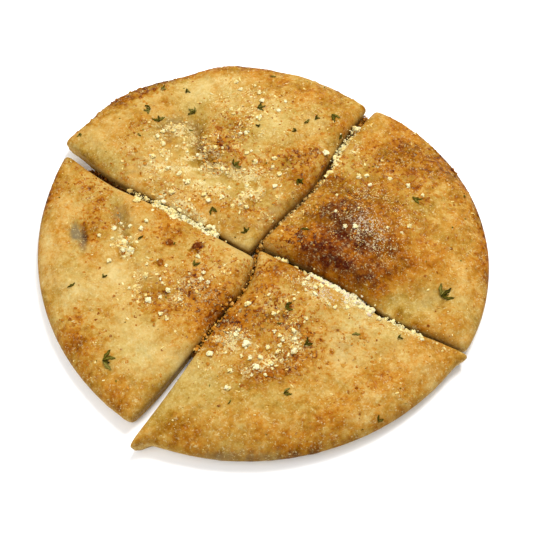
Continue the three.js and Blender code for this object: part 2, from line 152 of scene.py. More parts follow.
# Pits of the sides, in rows of (upwards, size, depth, seed). Their size is measured in steps, of
# which there are PITS_AROUND in a degree around the bread and upwards in a millimetre of height.
PITS_AROUND = 2
PITS = ((2.5, 4, 1, 71), (2, 1.8, 0.6, 72))
PIT_DEPTH, PIT_MEAN = 0.45, 1.6
# Narrow creases and pits of the top, as the bubbles.
CREASES = (
    (-90.5, 1, 1.3, 6, -1.8, 8), (-91, -8, 1.3, 4, -1, 15), (-35, 59, 2, 14, -1.3),
    (-44, 66, 1.8, 7, -0.8, 20), (-71.5, 12, 2, 9, -1.2, 5), (-68, -5, 1.6, 6, -1, 20),
    (-24, 60, 1.6, 8, -0.6, -10), (-52, 58, 5, 1.6, -0.7, -30), (-30, 42, 8, 1.6, -0.8, -35),
)

# ---- The baking of the crust ----
# How brown it is between the places below, which are ovals as the bubbles are: how much browner
# they are, or paler below 0.
BAKED = 0.3
BROWNED = (
    # the back slice
    (-60, 99, 26, 5, 0.22, 30), (-78, 84, 5, 4, 0.16), (-70, 92, 11, 5, 0.14, 30),
    (-66, 70, 6, 4, 0.2), (-64, 77, 5, 3, 0.14), (-50, 85, 9, 6, 0.1), (-20, 56, 13, 16, 0.13),
    # The narrow ovals at (-31.5, 51) and (-35, 66) are painted shade along the valley's crease.
    (-11, 18, 10, 7, 0.06), (-31.5, 51, 1.8, 9, 0.16, 8), (-35, 66, 2.6, 11, 0.14, 8),
    (-25, 47, 6, 4, 0.14), (-14, 66, 9, 5, 0.2, -35), (0, 112, 40, 6, 0.2), (8, 98, 13, 6, 0.14),
    # The oval at (-90.6, 0) is a painted shadow on the dent's right wall.
    (33, 88, 7, 9, 0.22), (45, 80, 7, 13, 0.08, 30), (-90.6, 0, 1.8, 7, 0.5, 8),
    (25, 49, 7, 4, 0.22, 30), (8, 42, 20, 5, 0.1, 10), (18, 36, 6, 5, 0.1), (42, 68, 6, 6, 0.15),
    (-5, 22, 4, 3, 0.25), (-30, 98, 20, 8, -0.12, 15), (-22, 86, 14, 10, -0.1),
    (-52, 68, 8, 7, 0.2), (-22, 43, 7, 5, 0.1), (-32, 54, 6, 9, 0.18), (10, 68, 18, 9, -0.1),
    (-12, 26, 26, 8, -0.1, -25), (-88, 66, 14, 8, -0.13, 30), (-86, 45, 14, 3, 0.14, -33),
    (-44, 63, 10, 8, 0.09), (-32, 50, 6, 6, 0.08), (-22, 39, 7, 5, 0.14), (6, 28, 7, 6, -0.1),
    (-40, 38, 14, 7, -0.1, -25),
    # the right slice
    (60, 14, 60, 46, 0.26), (77, 52, 12, 9, 0.2), (66, 36, 10, 8, -0.06),
    (95, 40, 9, 8, 0.06, -40), (100, 20, 7, 20, 0.03, 15), (35, 12, 8, 5, 0.24),
    (48, -2, 22, 17, 0.26, -10), (46, -8, 13, 8, 0.2, -10), (22, -9, 16, 7, 0.2, -20),
    (34, -17, 13, 5, 0.2, -25), (57, -21, 12, 5, 0.24, -20), (46, -25, 13, 5, 0.42, -31),
    (44, 16, 10, 8, 0.16), (74, -20, 9, 5, 0.15), (34, 32, 5, 8, 0.15), (47, 44, 8, 8, -0.25, 30),
    (76, -38, 16, 8, -0.02, 5), (97, -12, 9, 20, -0.12, 10), (62, 68, 10, 8, -0.05),
    (62, -36, 6, 4, -0.1), (67, -43, 3, 3, 0.3), (61, -35, 8, 4, 0.14, -35),
    (73, -48, 7, 3, 0.16, -31), (12, -4, 7, 5, -0.22), (24, 17, 7, 6, 0.1),
    (24, -21, 9, 4, 0.24, -30), (75, -45, 7, 4, 0.12, -31), (60, -27, 8, 5, 0.1),
    (20, 22, 8, 8, -0.06), (80, 7, 14, 12, -0.12), (108, -44, 6, 13, -0.14), (76, -4, 8, 8, -0.12),
    # the left slice
    (-97, 48, 9, 6, 0.16, -50), (-109, 28, 4, 14, 0.13, -12), (-87, 20, 7, 4, 0.04),
    (-86, 4, 6, 8, 0.16), (-74, 10, 3, 6, 0.18), (-69, -3, 4, 8, 0.28), (-31, 6, 8, 6, 0.1),
    (-45, -74, 7, 6, 0.1), (-20, -16, 16, 12, -0.04), (-46, 12, 13, 4, 0.14, -30),
    (-45, 1, 9, 4, 0.2), (-23, -42, 8, 14, 0.3, -25), (-36, -30, 12, 8, 0.18),
    (-39, -24, 7, 6, 0.1), (-54, -32, 10, 6, 0.22), (-50, -43, 9, 4, 0.2), (-69, -9, 5, 4, 0.3),
    (-84, -66, 13, 8, 0.13, -50), (-70, -84, 13, 9, 0.15, -45), (-91, -59, 6, 4, 0.12),
    (-103, -56, 6, 12, -0.14), (-63, -95, 8, 5, 0.02), (-84, -30, 17, 16, -0.12),
    # The paler oval at (-38, -68) is painted light on a cut edge that lies in shade.
    (-58, -62, 14, 12, -0.16), (-38, -68, 4, 10, -0.16, -35), (-72, -22, 9, 8, -0.1),
    (-12, -6, 12, 6, -0.24, -30), (-66, 24, 12, 5, -0.06, -30), (-110, -12, 6, 20, -0.2),
    # the front slice
    (37, -66, 14, 9, -0.24), (-1, -62, 15, 10, 0.12), (4, -24, 12, 10, 0.13),
    (-7, -38, 5, 9, 0.16, 20), (-14, -50, 11, 8, 0.22), (-21, -61, 7, 6, 0.22),
    (5, -48, 14, 6, 0.2), (20, -29, 10, 5, 0.14, -30), (19, -54, 6, 4, 0.14),
    (14, -64, 7, 6, 0.22), (31, -63, 5, 6, 0.1), (-29, -56, 5, 5, -0.14), (-3, -35, 6, 6, 0.12),
    (33, -53, 5, 3, 0.12), (-37, -108, 5, 4, 0.18), (-52, -111, 6, 6, 0.24), (25, -68, 10, 5, 0.2),
    (2, -77, 17, 8, 0.38), (77, -58, 13, 8, 0.16, -30), (56, -78, 20, 9, 0.14, 30),
    (34, -94, 16, 8, 0.14, 20), (20, -91, 6, 3, 0.06), (-41, -101, 13, 5, 0.2),
    (0, -107, 50, 5, 0.04), (-10, -92, 13, 8, 0.12), (-36, -93, 9, 9, -0.08),
    (40, -82, 16, 6, 0.02, 10), (50, -51, 16, 8, -0.26, -20), (7, -94, 9, 5, 0.06),
    (-14, -92, 12, 4, -0.08), (-2, -14, 6, 5, -0.22), (70, -92, 10, 5, -0.04, 40),
)
BLOTCHES = ((17, 0.08, 91), (7, 0.06, 92))
# Fine mottling, and how strong it is on pale crust, along the rim and on brown crust.
MOTTLES = ((3.6, 0.07, 93), (1.8, 0.08, 94), (0.9, 0.05, 95))
PALE_MOTTLING, RIM_MOTTLING, BROWN_MOTTLING = 0.7, 0.5, 1.2
MOTTLED_RIM = 30
PALE, BROWN_RANGE = 0.25, 0.6
# Small brown specks where the crust is speckled, in patches.
SPECKS = ((4.4, 0.3, 0.9, 101), (2.6, 0.3, 0.8, 105))
SPECK_BROWN = 0.22
SPECK_HILLS = ((1.1, 0.6, 98),)
# The baked rim is a little browner in a wide band, and again in a narrow one at its edge: the
# higher the power, the narrower the band. Its foot is paler: painted light, where little falls.
RIM_BROWN = 0.1
RIM_HILLS = ((9, 0.1, 97),)
RIM_WIDE, RIM_NARROW = 2, 8
RIM_SPOTS = ((2.6, 0.6, 2, 121),)
PAINTED_FOOT_LIGHT = 0.12
# Stretches of the rim with a browned edge and blisters: direction, reach to each side, how dark.
SCORCHED_RIM = ((14, 30, 0.24), (130, 16, 0.28), (164, 12, 0.3), (60, 8, 0.15), (276, 26, 0.08))
# Toasted specks: x, y, radius, how dark.
TOASTED = (
    # The first three, along the crag at x about -72, are toasted specks that are also painted
    # shadow in its creases, as are the bits laid on them.
    (-74.5, 12, 2.2, 0.45), (-71.5, 6, 1.8, 0.5), (-69, 0, 2, 0.4), (-75, 16, 1.4, 0.35),
    (-70, -10, 2.4, 0.65), (-66, -12, 1.4, 0.5), (-76, 7, 1.6, 0.5), (-17, -23, 1.4, 0.4),
    (-33, -8, 3.2, 1), (-47, -5, 2.8, 0.8), (-51, -17, 2.8, 0.7), (-37, -13, 1.3, 0.45),
    (-89, 30, 1.4, 0.6), (-90, 33, 0.9, 0.4), (-67, 18, 1.8, 0.4), (-89, -44, 1.4, 0.35),
    (-97, -48, 1.5, 0.45), (-53, -49, 1.5, 0.5), (-35, -54, 2.2, 0.4), (-48, -77, 2, 0.25),
    (-72, 44, 1.8, 0.45), (-62, 44, 2.2, 0.32), (-73, 59, 1.2, 0.4), (-11, 45, 2, 0.5),
    (-20, 58, 2, 0.42), (-13, 63, 2.2, 0.42), (-4, 81, 1.8, 0.36), (21, 85, 1.9, 0.42),
    (-5, 22, 2.2, 0.4), (-13, 31, 1.5, 0.4), (2, 31, 1.3, 0.42), (9, 33, 1.2, 0.3),
    (-2, 9, 1.6, 0.3), (-2, 13, 1.4, 0.25), (-50, 91, 1, 0.4), (-26, 70, 1.2, 0.4),
    (7, 76, 1, 0.32), (38, 63, 1.2, 0.25), (-25, 46, 2, 0.3), (-16, 72, 1.6, 0.35),
    (58, 53, 1.1, 0.5), (76, 51, 2, 0.3), (95, -8, 0.9, 0.9), (82, 6, 0.9, 0.45),
    (86, 5, 0.8, 0.4), (40, 37, 1.6, 0.4), (45, 20, 2, 0.2), (96, 31, 2, 0.2), (-1, -64, 2.2, 0.5),
    (3, -76, 4, 0.6), (9, -75, 3, 0.55), (33, -65, 1.6, 0.45), (-26, -71, 1.7, 0.36),
    (-18, -76, 1.6, 0.3), (-22, -97, 1.7, 0.3), (-27, -88, 1.1, 0.25), (58, -50, 1.9, 0.32),
    (39, -72, 3, 0.12), (24, -72, 0.8, 0.45), (-10, -47, 2.2, 0.35), (-18, -46, 1.8, 0.4),
    (-22, -53, 2, 0.35), (0, -52, 2, 0.3), (13, -52, 1.6, 0.35), (20, -58, 1.5, 0.35),
    (80, -61, 1.1, 0.25), (70, -65, 0.8, 0.4), (-13, -93, 0.8, 0.35), (2, -15, 1.2, 0.3),
    (6, -14, 1, 0.25), (-28, -18, 1.6, 0.3), (-12, -81, 1.2, 0.3),
)
# How ragged they are, where they end in radii, how sharply, and how much of the crust's own brown
# adds to theirs.
RAGGED = ((1.6, 0.45, 81), (0.8, 0.2, 82))
SPECK_EDGE, SPECK_SHARPNESS = 1.5, 0.7
BROWN_UNDER_SPECK = 0.25
# Greyish green places, where butter has soaked in, and painted shade in hollows: as the browned
# ones.
SOAKED_AND_SHADED = (
    (-94, 2, 4, 8, 0.9, 12), (-77, 23, 4, 5, 0.8), (-72, 10, 4, 12, 0.5, 10), (-68, -4, 5, 7, 0.8),
    (-34, 58, 4.5, 18, 1, 6), (-47, 68, 13, 11, 0.8), (-38, 82, 5, 4, 0.6),
    (-27, 42, 14, 5, 0.6, -35), (-86, 50, 16, 6, 0.7, -33), (-48, 96, 22, 9, 0.25, 20),
    (-10, 24, 26, 9, 0.45, -25), (10, 68, 20, 12, 0.35), (-22, 88, 16, 12, 0.3),
    (-10, 58, 30, 22, 0.2), (-26, -42, 10, 15, -0.6, -25), (30, -14, 24, 16, -0.3, -20),
    (72, -38, 17, 7, 0.75, 5), (50, 44, 8, 8, 0.5), (-58, -60, 18, 16, 0.35),
    (-84, -28, 18, 16, 0.25), (-28, -86, 18, 12, 0.7), (36, -82, 14, 8, 0.3, 10),
    (58, -86, 22, 10, -0.3, 35), (48, -52, 16, 7, 0.3, -20), (-9, -3, 8, 5, 0.5, 30),
    (-45, -92, 5, 12, 0.6, -35), (76, 18, 8, 5, 0.3, -30), (10, -93, 14, 6, 0.35),
)
# The rest of the crust, and how much more near the floor, up to a height.
SOAKED_OVERALL, SOAKED_BELOW, SOAKED_HEIGHT = 0.4, 0.8, 11
SOAKED_HILLS = ((9, 0.3, 89),)
# Grey places, mostly hollows and creases where the grey is painted shade, as above.
ASHEN = (
    (-94.8, 1.6, 2.5, 4.4, 2, 14), (-90.5, -5, 1.8, 4, 0.8, 10), (-74, 16, 2.6, 4, 0.7),
    (-71, 5, 2.5, 5, 0.4), (-35, 62, 3.2, 14, 0.22, 8), (-50, 70, 9, 6, 0.12),
    (-46, 68, 11, 9, 0.36), (-12, -116, 26, 2.5, 0.5), (-58, 42, 16, 6, 0.12, -33),
    (-24, 40, 10, 3, 0.2, -35), (80, -36, 10, 6, 0.14), (-10, 8, 5, 4, 0.2),
    (4, 13, 3, 9, 0.4, -35),
)
ASHEN_HILLS = ((5, 0.3, 131), (1.7, 0.25, 132))
MOST_ASHEN = 0.95
# Places strewn with toasted specks, and how thickly.
SPECKLED = (
    (-20, 58, 12, 18, 1), (-63, 68, 8, 7, 0.6), (-40, 27, 20, 8, 0.6, -28),
    (14, 45, 26, 9, 0.6, 10), (-64, 46, 14, 8, 0.4), (10, 78, 22, 14, 0.3), (-8, 16, 14, 10, 0.5),
    (-44, -34, 22, 13, 0.8, -10), (-46, 4, 16, 9, 0.6), (-86, 10, 10, 18, 0.6),
    (-90, 34, 14, 12, 0.4), (-24, -16, 14, 12, 0.6), (1, -18, 9, 8, 0.8), (16, -4, 12, 8, 0.8),
    (-84, -50, 12, 14, 0.35), (4, -44, 24, 15, 0.9, -20), (-18, -56, 9, 14, 0.7, -30),
    (22, -64, 16, 12, 0.5), (4, -74, 16, 8, 0.5), (45, -60, 16, 12, 0.3), (60, 24, 46, 34, 0.45),
    (52, 46, 10, 10, 0.3), (78, 50, 16, 10, 0.4, -30), (-60, 96, 24, 8, 0.4, 30),
    (56, -80, 22, 9, 0.3, 30),
)
SPECKLED_OVERALL = 0.12
SPECKLED_HILLS = ((12, 0.15, 99),)
# Drifts of fine grated cheese, and their grains for each square millimetre.
DUSTED = (
    (-12, 34, 30, 9, 0.37, -28), (-50, 43, 18, 9, 0.45, -30), (-8, 84, 22, 12, 0.15, -20),
    (-6, 60, 16, 12, 0.10), (-44, 64, 12, 9, 0.28), (28, 62, 18, 14, 0.05), (-38, 50, 9, 9, 0.2),
    (-34.5, 62, 2.4, 13, -0.14, 8), (-18, 24, 24, 6, 0.1, -30), (-40, 18, 16, 4, 0.5, -33),
    (-70, 0, 4.5, 10, 0.6, 10), (-46, -32, 14, 7, 0.20, -10), (-60, -28, 12, 10, 0.10),
    (-26, -20, 14, 9, 0.06), (62, 42, 11, 5, 0.12), (46, 56, 5, 12, 0.34, -30),
    (28, -35, 13, 6, 0.22, -30), (47, -41, 18, 2.6, 0.42, -31), (70, -51, 14, 2.4, 0.5, -31),
    (-10, -60, 8, 4, 0.4, -10), (2, -71, 8, 3, 0.3, 10), (15, -60, 7, 10, 0.18, 20),
    (8, -40, 12, 10, 0.04), (-24, -62, 6, 12, 0.2, -30), (-12, -78, 14, 7, 0.12),
)
# Places with a thin powder of cheese, as above.
POWDERED = (
    (49, 5, 11, 10, 0.5, 15), (58, -8, 13, 8, 0.4, -15), (70, 8, 12, 10, 0.25),
    (54, 24, 16, 8, 0.3, -20), (30, -35, 15, 6, 0.55, -30), (48, -42, 18, 4, 0.2, -31),
    (0, -106, 60, 8, 0.1), (-34, -30, 12, 7, 0.3), (-8, -60, 12, 8, 0.3),
    (-6, 84, 20, 9, 0.3, -20), (60, -86, 30, 8, 0.1, 35), (108, -20, 8, 40, 0.08),
    (-90, -60, 10, 30, 0.05, 30),
)
# How the grated cheese gathers in clumps, and how far it whitens the crust.
CLOTTING = 0.75
CLOTS = ((5, 1.6, 111), (2.5, 0.8, 112))
THICKEST_CLOT = 3
DUST_WHITENS = 1.6
# The crumb on the cut sides: how far in it shows, how far above the girth, and its soft edge.
CRUMB_INSET, CRUMB_ABOVE, CRUMB_EDGE = 1.2, 0.5, 1.5

# ---- How much is strewn ----
GRAIN_TRIES = 700000
GRAIN_MARGIN = 0.6
SPECKS_OF_PARSLEY = 130
LUMP_BITS = 8
CHUNK_FACETS = 7
LEAFLET_STEPS = 14
# Crumbs heaped in the cracks: cut, from and to that far out, how far to the left of the cut, how
# wide, how many, how toasted.
CRACK_CRUMBS = (
    ("northWest", 20, 60, 0.3, 1.5, 800, -0.1), ("northWest", 56, 76, 0.4, 1, 90, 0.1),
    ("northEast", 60, 88, -1, 1.6, 220, 0), ("northEast", 40, 62, -2, 1, 60, 0.1),
    ("southWest", 12, 70, 0, 0.8, 150, 0.6), ("southEast", 32, 68, -2.2, 1.5, 1150, -0.25),
    ("southEast", 74, 94, -1.2, 0.8, 90, 0), ("southEast", 8, 36, -1.6, 0.9, 60, 0.1),
)
CRUMB_HEAP = 1.2
CRUMB_HEAP_HILLS = ((5, 0.8, 141),)
CRUMB_HEAP_DEPTH = 3
CRUMB_GATHERING = ((4.5, 0.6, 143),)
# Crumbs of crust in the cracks, so thick that they stand in as painted shade over the floor there:
# cut, from and to that far out, how many, how high they are heaped, how browned.
CRACK_LITTER_AND_SHADE = (
    ("northWest", 0, 104, 1300, 3, 0.75), ("northEast", -3, 50, 1500, 7, 0.2),
    ("northEast", 44, 102, 900, 4, 0.5), ("southWest", -6, 70, 1300, 5, 0.5),
    ("southEast", 0, 102, 1100, 3, 0.7),
)
LITTER_FLOOR = 0.05

# ---- Camera and light ----
FRAME_PIXELS = 533
FOCAL_LENGTH_PIXELS = 1108
SENSOR_WIDTH = 36
CAMERA_ELEVATION = 60
CAMERA_DISTANCE = 560
CAMERA_AIM = (2, -14.5, 8)
CLIP_METRES = (0.01, 10)
FLOOR_SIZE = 4000
# Lights: name, place, size, watts.
LIGHTS = (("key", (260, 460, 860), 420, 13), ("fill", (-480, -420, 640), 900, 5))
SURROUNDING_LIGHT = 0.6
# How bright a white card on the bread would show, and what the crust's dull shine adds.
LIGHT_LEVEL, SHINE = 1.8, 0.021
# The same for a small grain, whose sides are darker than its top.
GRAIN_LIGHT_LEVEL = 1.45

# ---- Colours, as they show in even light ----
# Crust from the palest to burnt, where it is warm and where it is greyish green.
BROWN_STOPS = (0.0, 0.2, 0.4, 0.6, 0.8, 1.0)
WARM = ((248, 215, 144), (236, 189, 108), (218, 152, 62), (190, 113, 18), (142, 77, 6), (92, 47, 3))
GREEN = ((241, 218, 148), (223, 191, 112), (196, 157, 74), (160, 116, 36), (118, 76, 14),
         (76, 46, 6))
ASH = (148, 130, 98)
CRUMB, CRUMB_HOLLOW = (236, 196, 116), (200, 152, 68)
FLOUR, POWDER = (249, 227, 162), (240, 214, 202)
# Cheese from raw to toasted, and parsley from dark to pale, its pale greyish partly a painted
# sheen.
CHEESE = ((0.0, (230, 208, 192)), (0.2, (253, 244, 196)), (0.5, (248, 228, 156)),
          (0.85, (236, 198, 112)), (1.0, (206, 140, 52)))
LEAF = ((0.2, (66, 60, 18)), (0.55, (106, 98, 32)), (0.9, (162, 150, 80)))
FLOOR = (248, 248, 248)


# ---- The form of the bread ----
def turned(x, y, degrees=0):
    """How far points lie along a direction, and to its left."""
    c, s = cos(radians(degrees)), sin(radians(degrees))
    return x * c + y * s, y * c - x * s


def beside_cut(cut, x, y):
    """How far points lie to the left of a cut's middle line, and half the gap there."""
    along, left = turned(x, y, cut["turn"])
    across = cut["across"]
    for at, reach, aside in cut["bows"]:
        across = across + aside * np.exp(-(((along - at) / reach) ** 2))
    outwards = np.clip(along / LOAF_RADIUS, 0, 1) ** cut["late"]
    near, far = cut["gap"]
    return left - across, (near + (far - near) * outwards) / 2


def turns_away(x, y, turn):
    """How many degrees points lie to one side of a direction, from -180 to 180."""
    return (np.degrees(np.arctan2(y, x)) - turn + 180) % 360 - 180


def inside_rim(shape, x, y):
    """How far points lie inside the baked rim of a slice."""
    radius = shape["rim_radius"]
    for turn, half_width, height in shape["nubs"]:
        radius = radius + height * np.exp(-((turns_away(x, y, turn) / half_width) ** 2))
    middle = shape["rim_middle"]
    return radius - np.hypot(x - middle[0], y - middle[1])


def edge_distances(name, x, y):
    """Distances of points inside a slice from its first cut, its second cut and its rim."""
    first, second = (beside_cut(CUTS[cut], x, y) for cut in SLICES[name]["cuts"])
    rim = inside_rim(SLICES[name], x, y)
    return np.stack([first[0] - first[1], -second[0] - second[1], rim])


def inset(name, x, y):
    """Distances of points from the rounded outline of a slice, more than 0 inside it."""
    distances = edge_distances(name, x, y)
    nearest = distances.min(0)
    total = np.exp((nearest - distances) / CORNER_SOFTNESS).sum(0)
    return nearest - CORNER_SOFTNESS * np.log(total)


def rim_share(name, x, y):
    """1 beside the baked rim, 0 beside a cut, and between them near a corner."""
    distances = edge_distances(name, x, y)
    weights = np.exp((distances.min(0) - distances) / ROLL_BLEND)
    return weights[2] / weights.sum(0)


def layered(x, y, places):
    """The sum of ovals at points: each has its amount at its middle and falls off to 0."""
    total = np.zeros_like(x)
    for at_x, at_y, long, wide, amount, *turn in places:
        along, left = turned(x - at_x, y - at_y, *turn)
        total += amount * np.exp(-((along / long) ** 2) - (left / wide) ** 2)
    return total


def crown(x, y):
    """Height of the crust's top where no edge is near."""
    height = CROWN_HEIGHT + layered(x, y, SWELLS)
    for size, along_x, along_y, start in RIPPLES:
        height += size * np.sin(2 * pi * (along_x * x + along_y * y) + start)
    return height


def beside_edge(name, x, y, at_cut, at_rim):
    """A measure that differs between the baked rim and a cut side."""
    return at_cut + (at_rim - at_cut) * rim_share(name, x, y)


def lift_inside(name, x, y):
    """0 at the outline, rounding up to 1 where the top is flat."""
    roll = beside_edge(name, x, y, CUT_ROLL, RIM_ROLL)
    still_open = 1 - np.clip((inset(name, x, y) - OUTLINE_MARGIN) / roll, 0, 1)
    return (1 - still_open ** ROLL_POWER) ** (1 / ROLL_POWER)


# ---- Unevenness ----
def lattice(column, row, seed):
    """A repeatable random number from 0 to 1 for each cell of a lattice."""
    n = (column.astype(np.int64) * 374761393 + row.astype(np.int64) * 668265263
         + seed * 974634777) & 0xFFFFFFFF
    n = ((n ^ (n >> 13)) * 1274126177) & 0xFFFFFFFF
    return ((n ^ (n >> 16)) & 0xFFFF) / 0xFFFF


def noise(x, y, size, seed):
    """Smooth random hills from -1 to 1, with one hill or hollow in each cell of that size."""
    u, v = (0.8 * x - 0.6 * y) / size + seed * 7.3, (0.6 * x + 0.8 * y) / size - seed * 3.1
    column, row = np.floor(u), np.floor(v)
    s, t = u - column, v - row
    s, t = s * s * (3 - 2 * s), t * t * (3 - 2 * t)
    near = lattice(column, row, seed) * (1 - s) + lattice(column + 1, row, seed) * s
    far = lattice(column, row + 1, seed) * (1 - s) + lattice(column + 1, row + 1, seed) * s
    return 2 * (near * (1 - t) + far * t) - 1


def hills(x, y, rows):
    """The sum of random hills of several sizes, in rows of (size, height, seed)."""
    return sum(height * noise(x, y, size, seed) for size, height, seed in rows)


def spots(x, y, cell, share, seed):
    """Round spots, 1 at the middle: that share of the cells has one, of a random size."""
    column, row = np.floor(x / cell), np.floor(y / cell)
    best = np.zeros_like(x)
    for di in (-1, 0, 1):
        for dj in (-1, 0, 1):
            i, j = column + di, row + dj
            px = (i + lattice(i, j, seed)) * cell
            py = (j + lattice(i, j, seed + 1)) * cell
            chosen = lattice(i, j, seed + 2) < share
            radius = cell * (0.16 + 0.34 * lattice(i, j, seed + 3) ** 2)
            away = np.hypot(x - px, y - py) / radius
            best = np.maximum(best, np.where(chosen, np.clip(1.25 - away, 0, 1), 0))
    return best


def spotted(x, y, rows):
    """The sum of spots of several sizes, in rows of (cell, share, height, seed)."""
    return sum(height * spots(x, y, cell, share, seed) for cell, share, height, seed in rows)


def relief(x, y):
    """The fine relief of the crust, in millimetres."""
    return hills(x, y, HILLS) - LOW + spotted(x, y, PIMPLES) + layered(x, y, CREASES)


def top_height(name, x, y):
    """Height of a slice's top, with its relief."""
    girth = beside_edge(name, x, y, CUT_GIRTH, RIM_GIRTH)
    distance = inset(name, x, y) - OUTLINE_MARGIN
    near_rim = np.clip(distance / BLISTERS_BEGIN, 0, 1) * np.exp(-distance / BLISTERS_REACH)
    blistered = near_rim * rim_share(name, x, y) * spotted(x, y, BLISTERS)
    lifted = (crown(x, y) + relief(x, y) - girth) * lift_inside(name, x, y)
    return girth + lifted + blistered * (PLAIN_BLISTERS + SCORCHED_BLISTERS * scorching(x, y))


def heart_of(name):
    """The middle of a slice, and the bearings of its first cut, its middle and its second cut."""
    first, second = (radians(CUTS[cut]["turn"]) for cut in SLICES[name]["cuts"])
    second = first + (second - first) % (2 * pi)
    middle = (first + second) / 2
    return np.array([cos(middle), sin(middle)]) * HEART_DISTANCE, (first, middle, second)


def outline_points(name, heart, angles):
    """The points of a slice's outline that its heart sees in some directions."""
    ways = np.stack([np.cos(angles), np.sin(angles)])
    inside = np.zeros_like(angles)
    outside = np.full_like(angles, 2.0 * LOAF_RADIUS)
    for _ in range(OUTLINE_HALVINGS):
        reach = (inside + outside) / 2
        x, y = heart[:, None] + reach * ways
        is_inside = inset(name, x, y) > OUTLINE_MARGIN
        inside = np.where(is_inside, reach, inside)
        outside = np.where(is_inside, outside, reach)
    return (heart[:, None] + inside * ways).T


def outline_stretches(name, steps):
    """A slice's outline as six stretches from corner to middle of a side or back, tip first."""
    heart, (first, middle, second) = heart_of(name)

    def seen(bearing):
        return np.arctan2(LOAF_RADIUS * sin(bearing) - heart[1],
                          LOAF_RADIUS * cos(bearing) - heart[0])

    stations = [middle + pi, first - pi / 2, seen(first), middle, seen(second), second + pi / 2]
    stretches = []
    for k, start in enumerate(stations):
        turn = (stations[(k + 1) % 6] - start) % (2 * pi)
        fine = outline_points(name, heart, start + turn * np.linspace(0, 1, OUTLINE_RAYS + 1))
        travelled = np.r_[0, np.cumsum(np.hypot(*np.diff(fine, axis=0).T))]
        share = np.linspace(0, 1, steps + 1)
        share = share ** EDGE_CROWDING if k % 2 == 0 else 1 - (1 - share) ** EDGE_CROWDING
        target = share * travelled[-1]
        stretches.append(np.stack([np.interp(target, travelled, fine[:, a]) for a in (0, 1)], 1))
    return stretches, heart


def patch(onwards, backwards, heart):
    """Points that fill the four-sided patch between a corner of a slice and its heart."""
    steps = len(onwards) - 1
    u, v = np.meshgrid(*[np.linspace(0, 1, steps + 1) ** EDGE_CROWDING] * 2, indexing="ij")
    u, v = u[..., None], v[..., None]
    corner, along, across = onwards[0], onwards[-1], backwards[-1]
    lengthwise = (1 - v) * onwards[:, None] + v * (across + u * (heart - across))
    crosswise = (1 - u) * backwards[None] + u * (along + v * (heart - along))
    level = (1 - v) * (corner + u * (along - corner)) + v * (across + u * (heart - across))
    return lengthwise + crosswise - level


def grid_faces(first, rows, columns):
    """The quads between points that lie in rows, numbered from the first one on."""
    i, j = np.meshgrid(np.arange(rows - 1), np.arange(columns - 1), indexing="ij")
    corner = (first + i * columns + j).ravel()
    return np.stack([corner, corner + columns, corner + columns + 1, corner + 1], 1)


def slice_points(name):
    """Points and faces of one slice: its top in three patches, its side and its underside."""
    stretches, heart = outline_stretches(name, PATCH_STEPS)
    points, faces, count = [], [], 0
    for corner in (0, 2, 4):
        flat = patch(stretches[corner], stretches[corner - 1][::-1], heart)
        x, y = flat[..., 0].ravel(), flat[..., 1].ravel()
        points.append(np.stack([x, y, top_height(name, x, y)], 1))
        faces.append(grid_faces(count, PATCH_STEPS + 1, PATCH_STEPS + 1))
        count += x.size

    outline = np.concatenate([stretch[1:] for stretch in stretches])
    outline = np.concatenate([outline, outline[:1]])
    x, y = outline.T
    undercut = beside_edge(name, x, y, CUT_UNDERCUT, RIM_UNDERCUT)
    girth = beside_edge(name, x, y, CUT_GIRTH, RIM_GIRTH)
    to_heart = (heart - outline) / np.linalg.norm(heart - outline, axis=1)[:, None]
    for ring in range(SIDE_RINGS + 1):
        turn = (1 - ring / SIDE_RINGS) * pi / 2
        wobble = side_wobble(x, y, girth * (1 - cos(turn)))
        back = undercut * (1 - sin(turn)) + wobble * sin(2 * turn)
        ring_points = outline + to_heart * back[:, None]
        points.append(np.column_stack([ring_points, girth * (1 - cos(turn))]))
    faces.append(grid_faces(count, SIDE_RINGS + 1, len(outline)))
    last_ring = count + SIDE_RINGS * len(outline)
    middle = count + (SIDE_RINGS + 1) * len(outline)
    points.append([[*heart, 0]])
    around = last_ring + np.arange(len(outline) - 1)
    fan = np.stack([around, np.full_like(around, middle), around + 1], 1)
    return np.concatenate(points), [*np.concatenate(faces).tolist(), *fan.tolist()]


def side_wobble(x, y, height):
    """How far a side stays back, in shallow pits and creases along it."""
    around = np.degrees(np.arctan2(y, x)) * PITS_AROUND
    pits = sum(depth * noise(around, height * upwards, size, seed)
               for upwards, size, depth, seed in PITS)
    return PIT_DEPTH * (pits + PIT_MEAN)


def mesh_object(name, points, faces):
    """A smooth mesh object from points in millimetres."""
    mesh = bpy.data.meshes.new(name)
    mesh.from_pydata((np.asarray(points) * MM).tolist(), [], faces)
    mesh.shade_smooth()
    piece = bpy.data.objects.new(name, mesh)
    bpy.context.scene.collection.objects.link(piece)
    return piece


def merge_seams(piece):
    """Joins points that coincide, and turns every face outwards."""
    edit = bmesh.new()
    edit.from_mesh(piece.data)
    bmesh.ops.remove_doubles(edit, verts=edit.verts, dist=SEAM * MM)
    bmesh.ops.recalc_face_normals(edit, faces=edit.faces)
    edit.to_mesh(piece.data)
    edit.free()
    piece.data.shade_smooth()


def points_of(piece):
    """The points of a piece, in millimetres."""
    points = np.empty(3 * len(piece.data.vertices), np.float32)
    piece.data.vertices.foreach_get("co", points)
    return points.reshape(-1, 3).astype(float) / MM


def keep_shade(piece, name, values):
    """Stores a number at each point of a piece, for its material."""
    attribute = piece.data.attributes.new(name, "FLOAT", "POINT")
    attribute.data.foreach_set("value", np.asarray(values, np.float32))


# ---- The shades of the crust ----
def toast(x, y):
    """How dark the toasted specks are at points of the bread, uneven round their edges."""
    ragged = 1 + hills(x, y, RAGGED)
    best = np.zeros_like(x)
    for at_x, at_y, radius, dark in TOASTED:
        away = np.hypot(x - at_x, y - at_y) / (radius * ragged)
        best = np.maximum(best, dark * np.clip(SPECK_EDGE - away, 0, 1) ** SPECK_SHARPNESS)
    return best


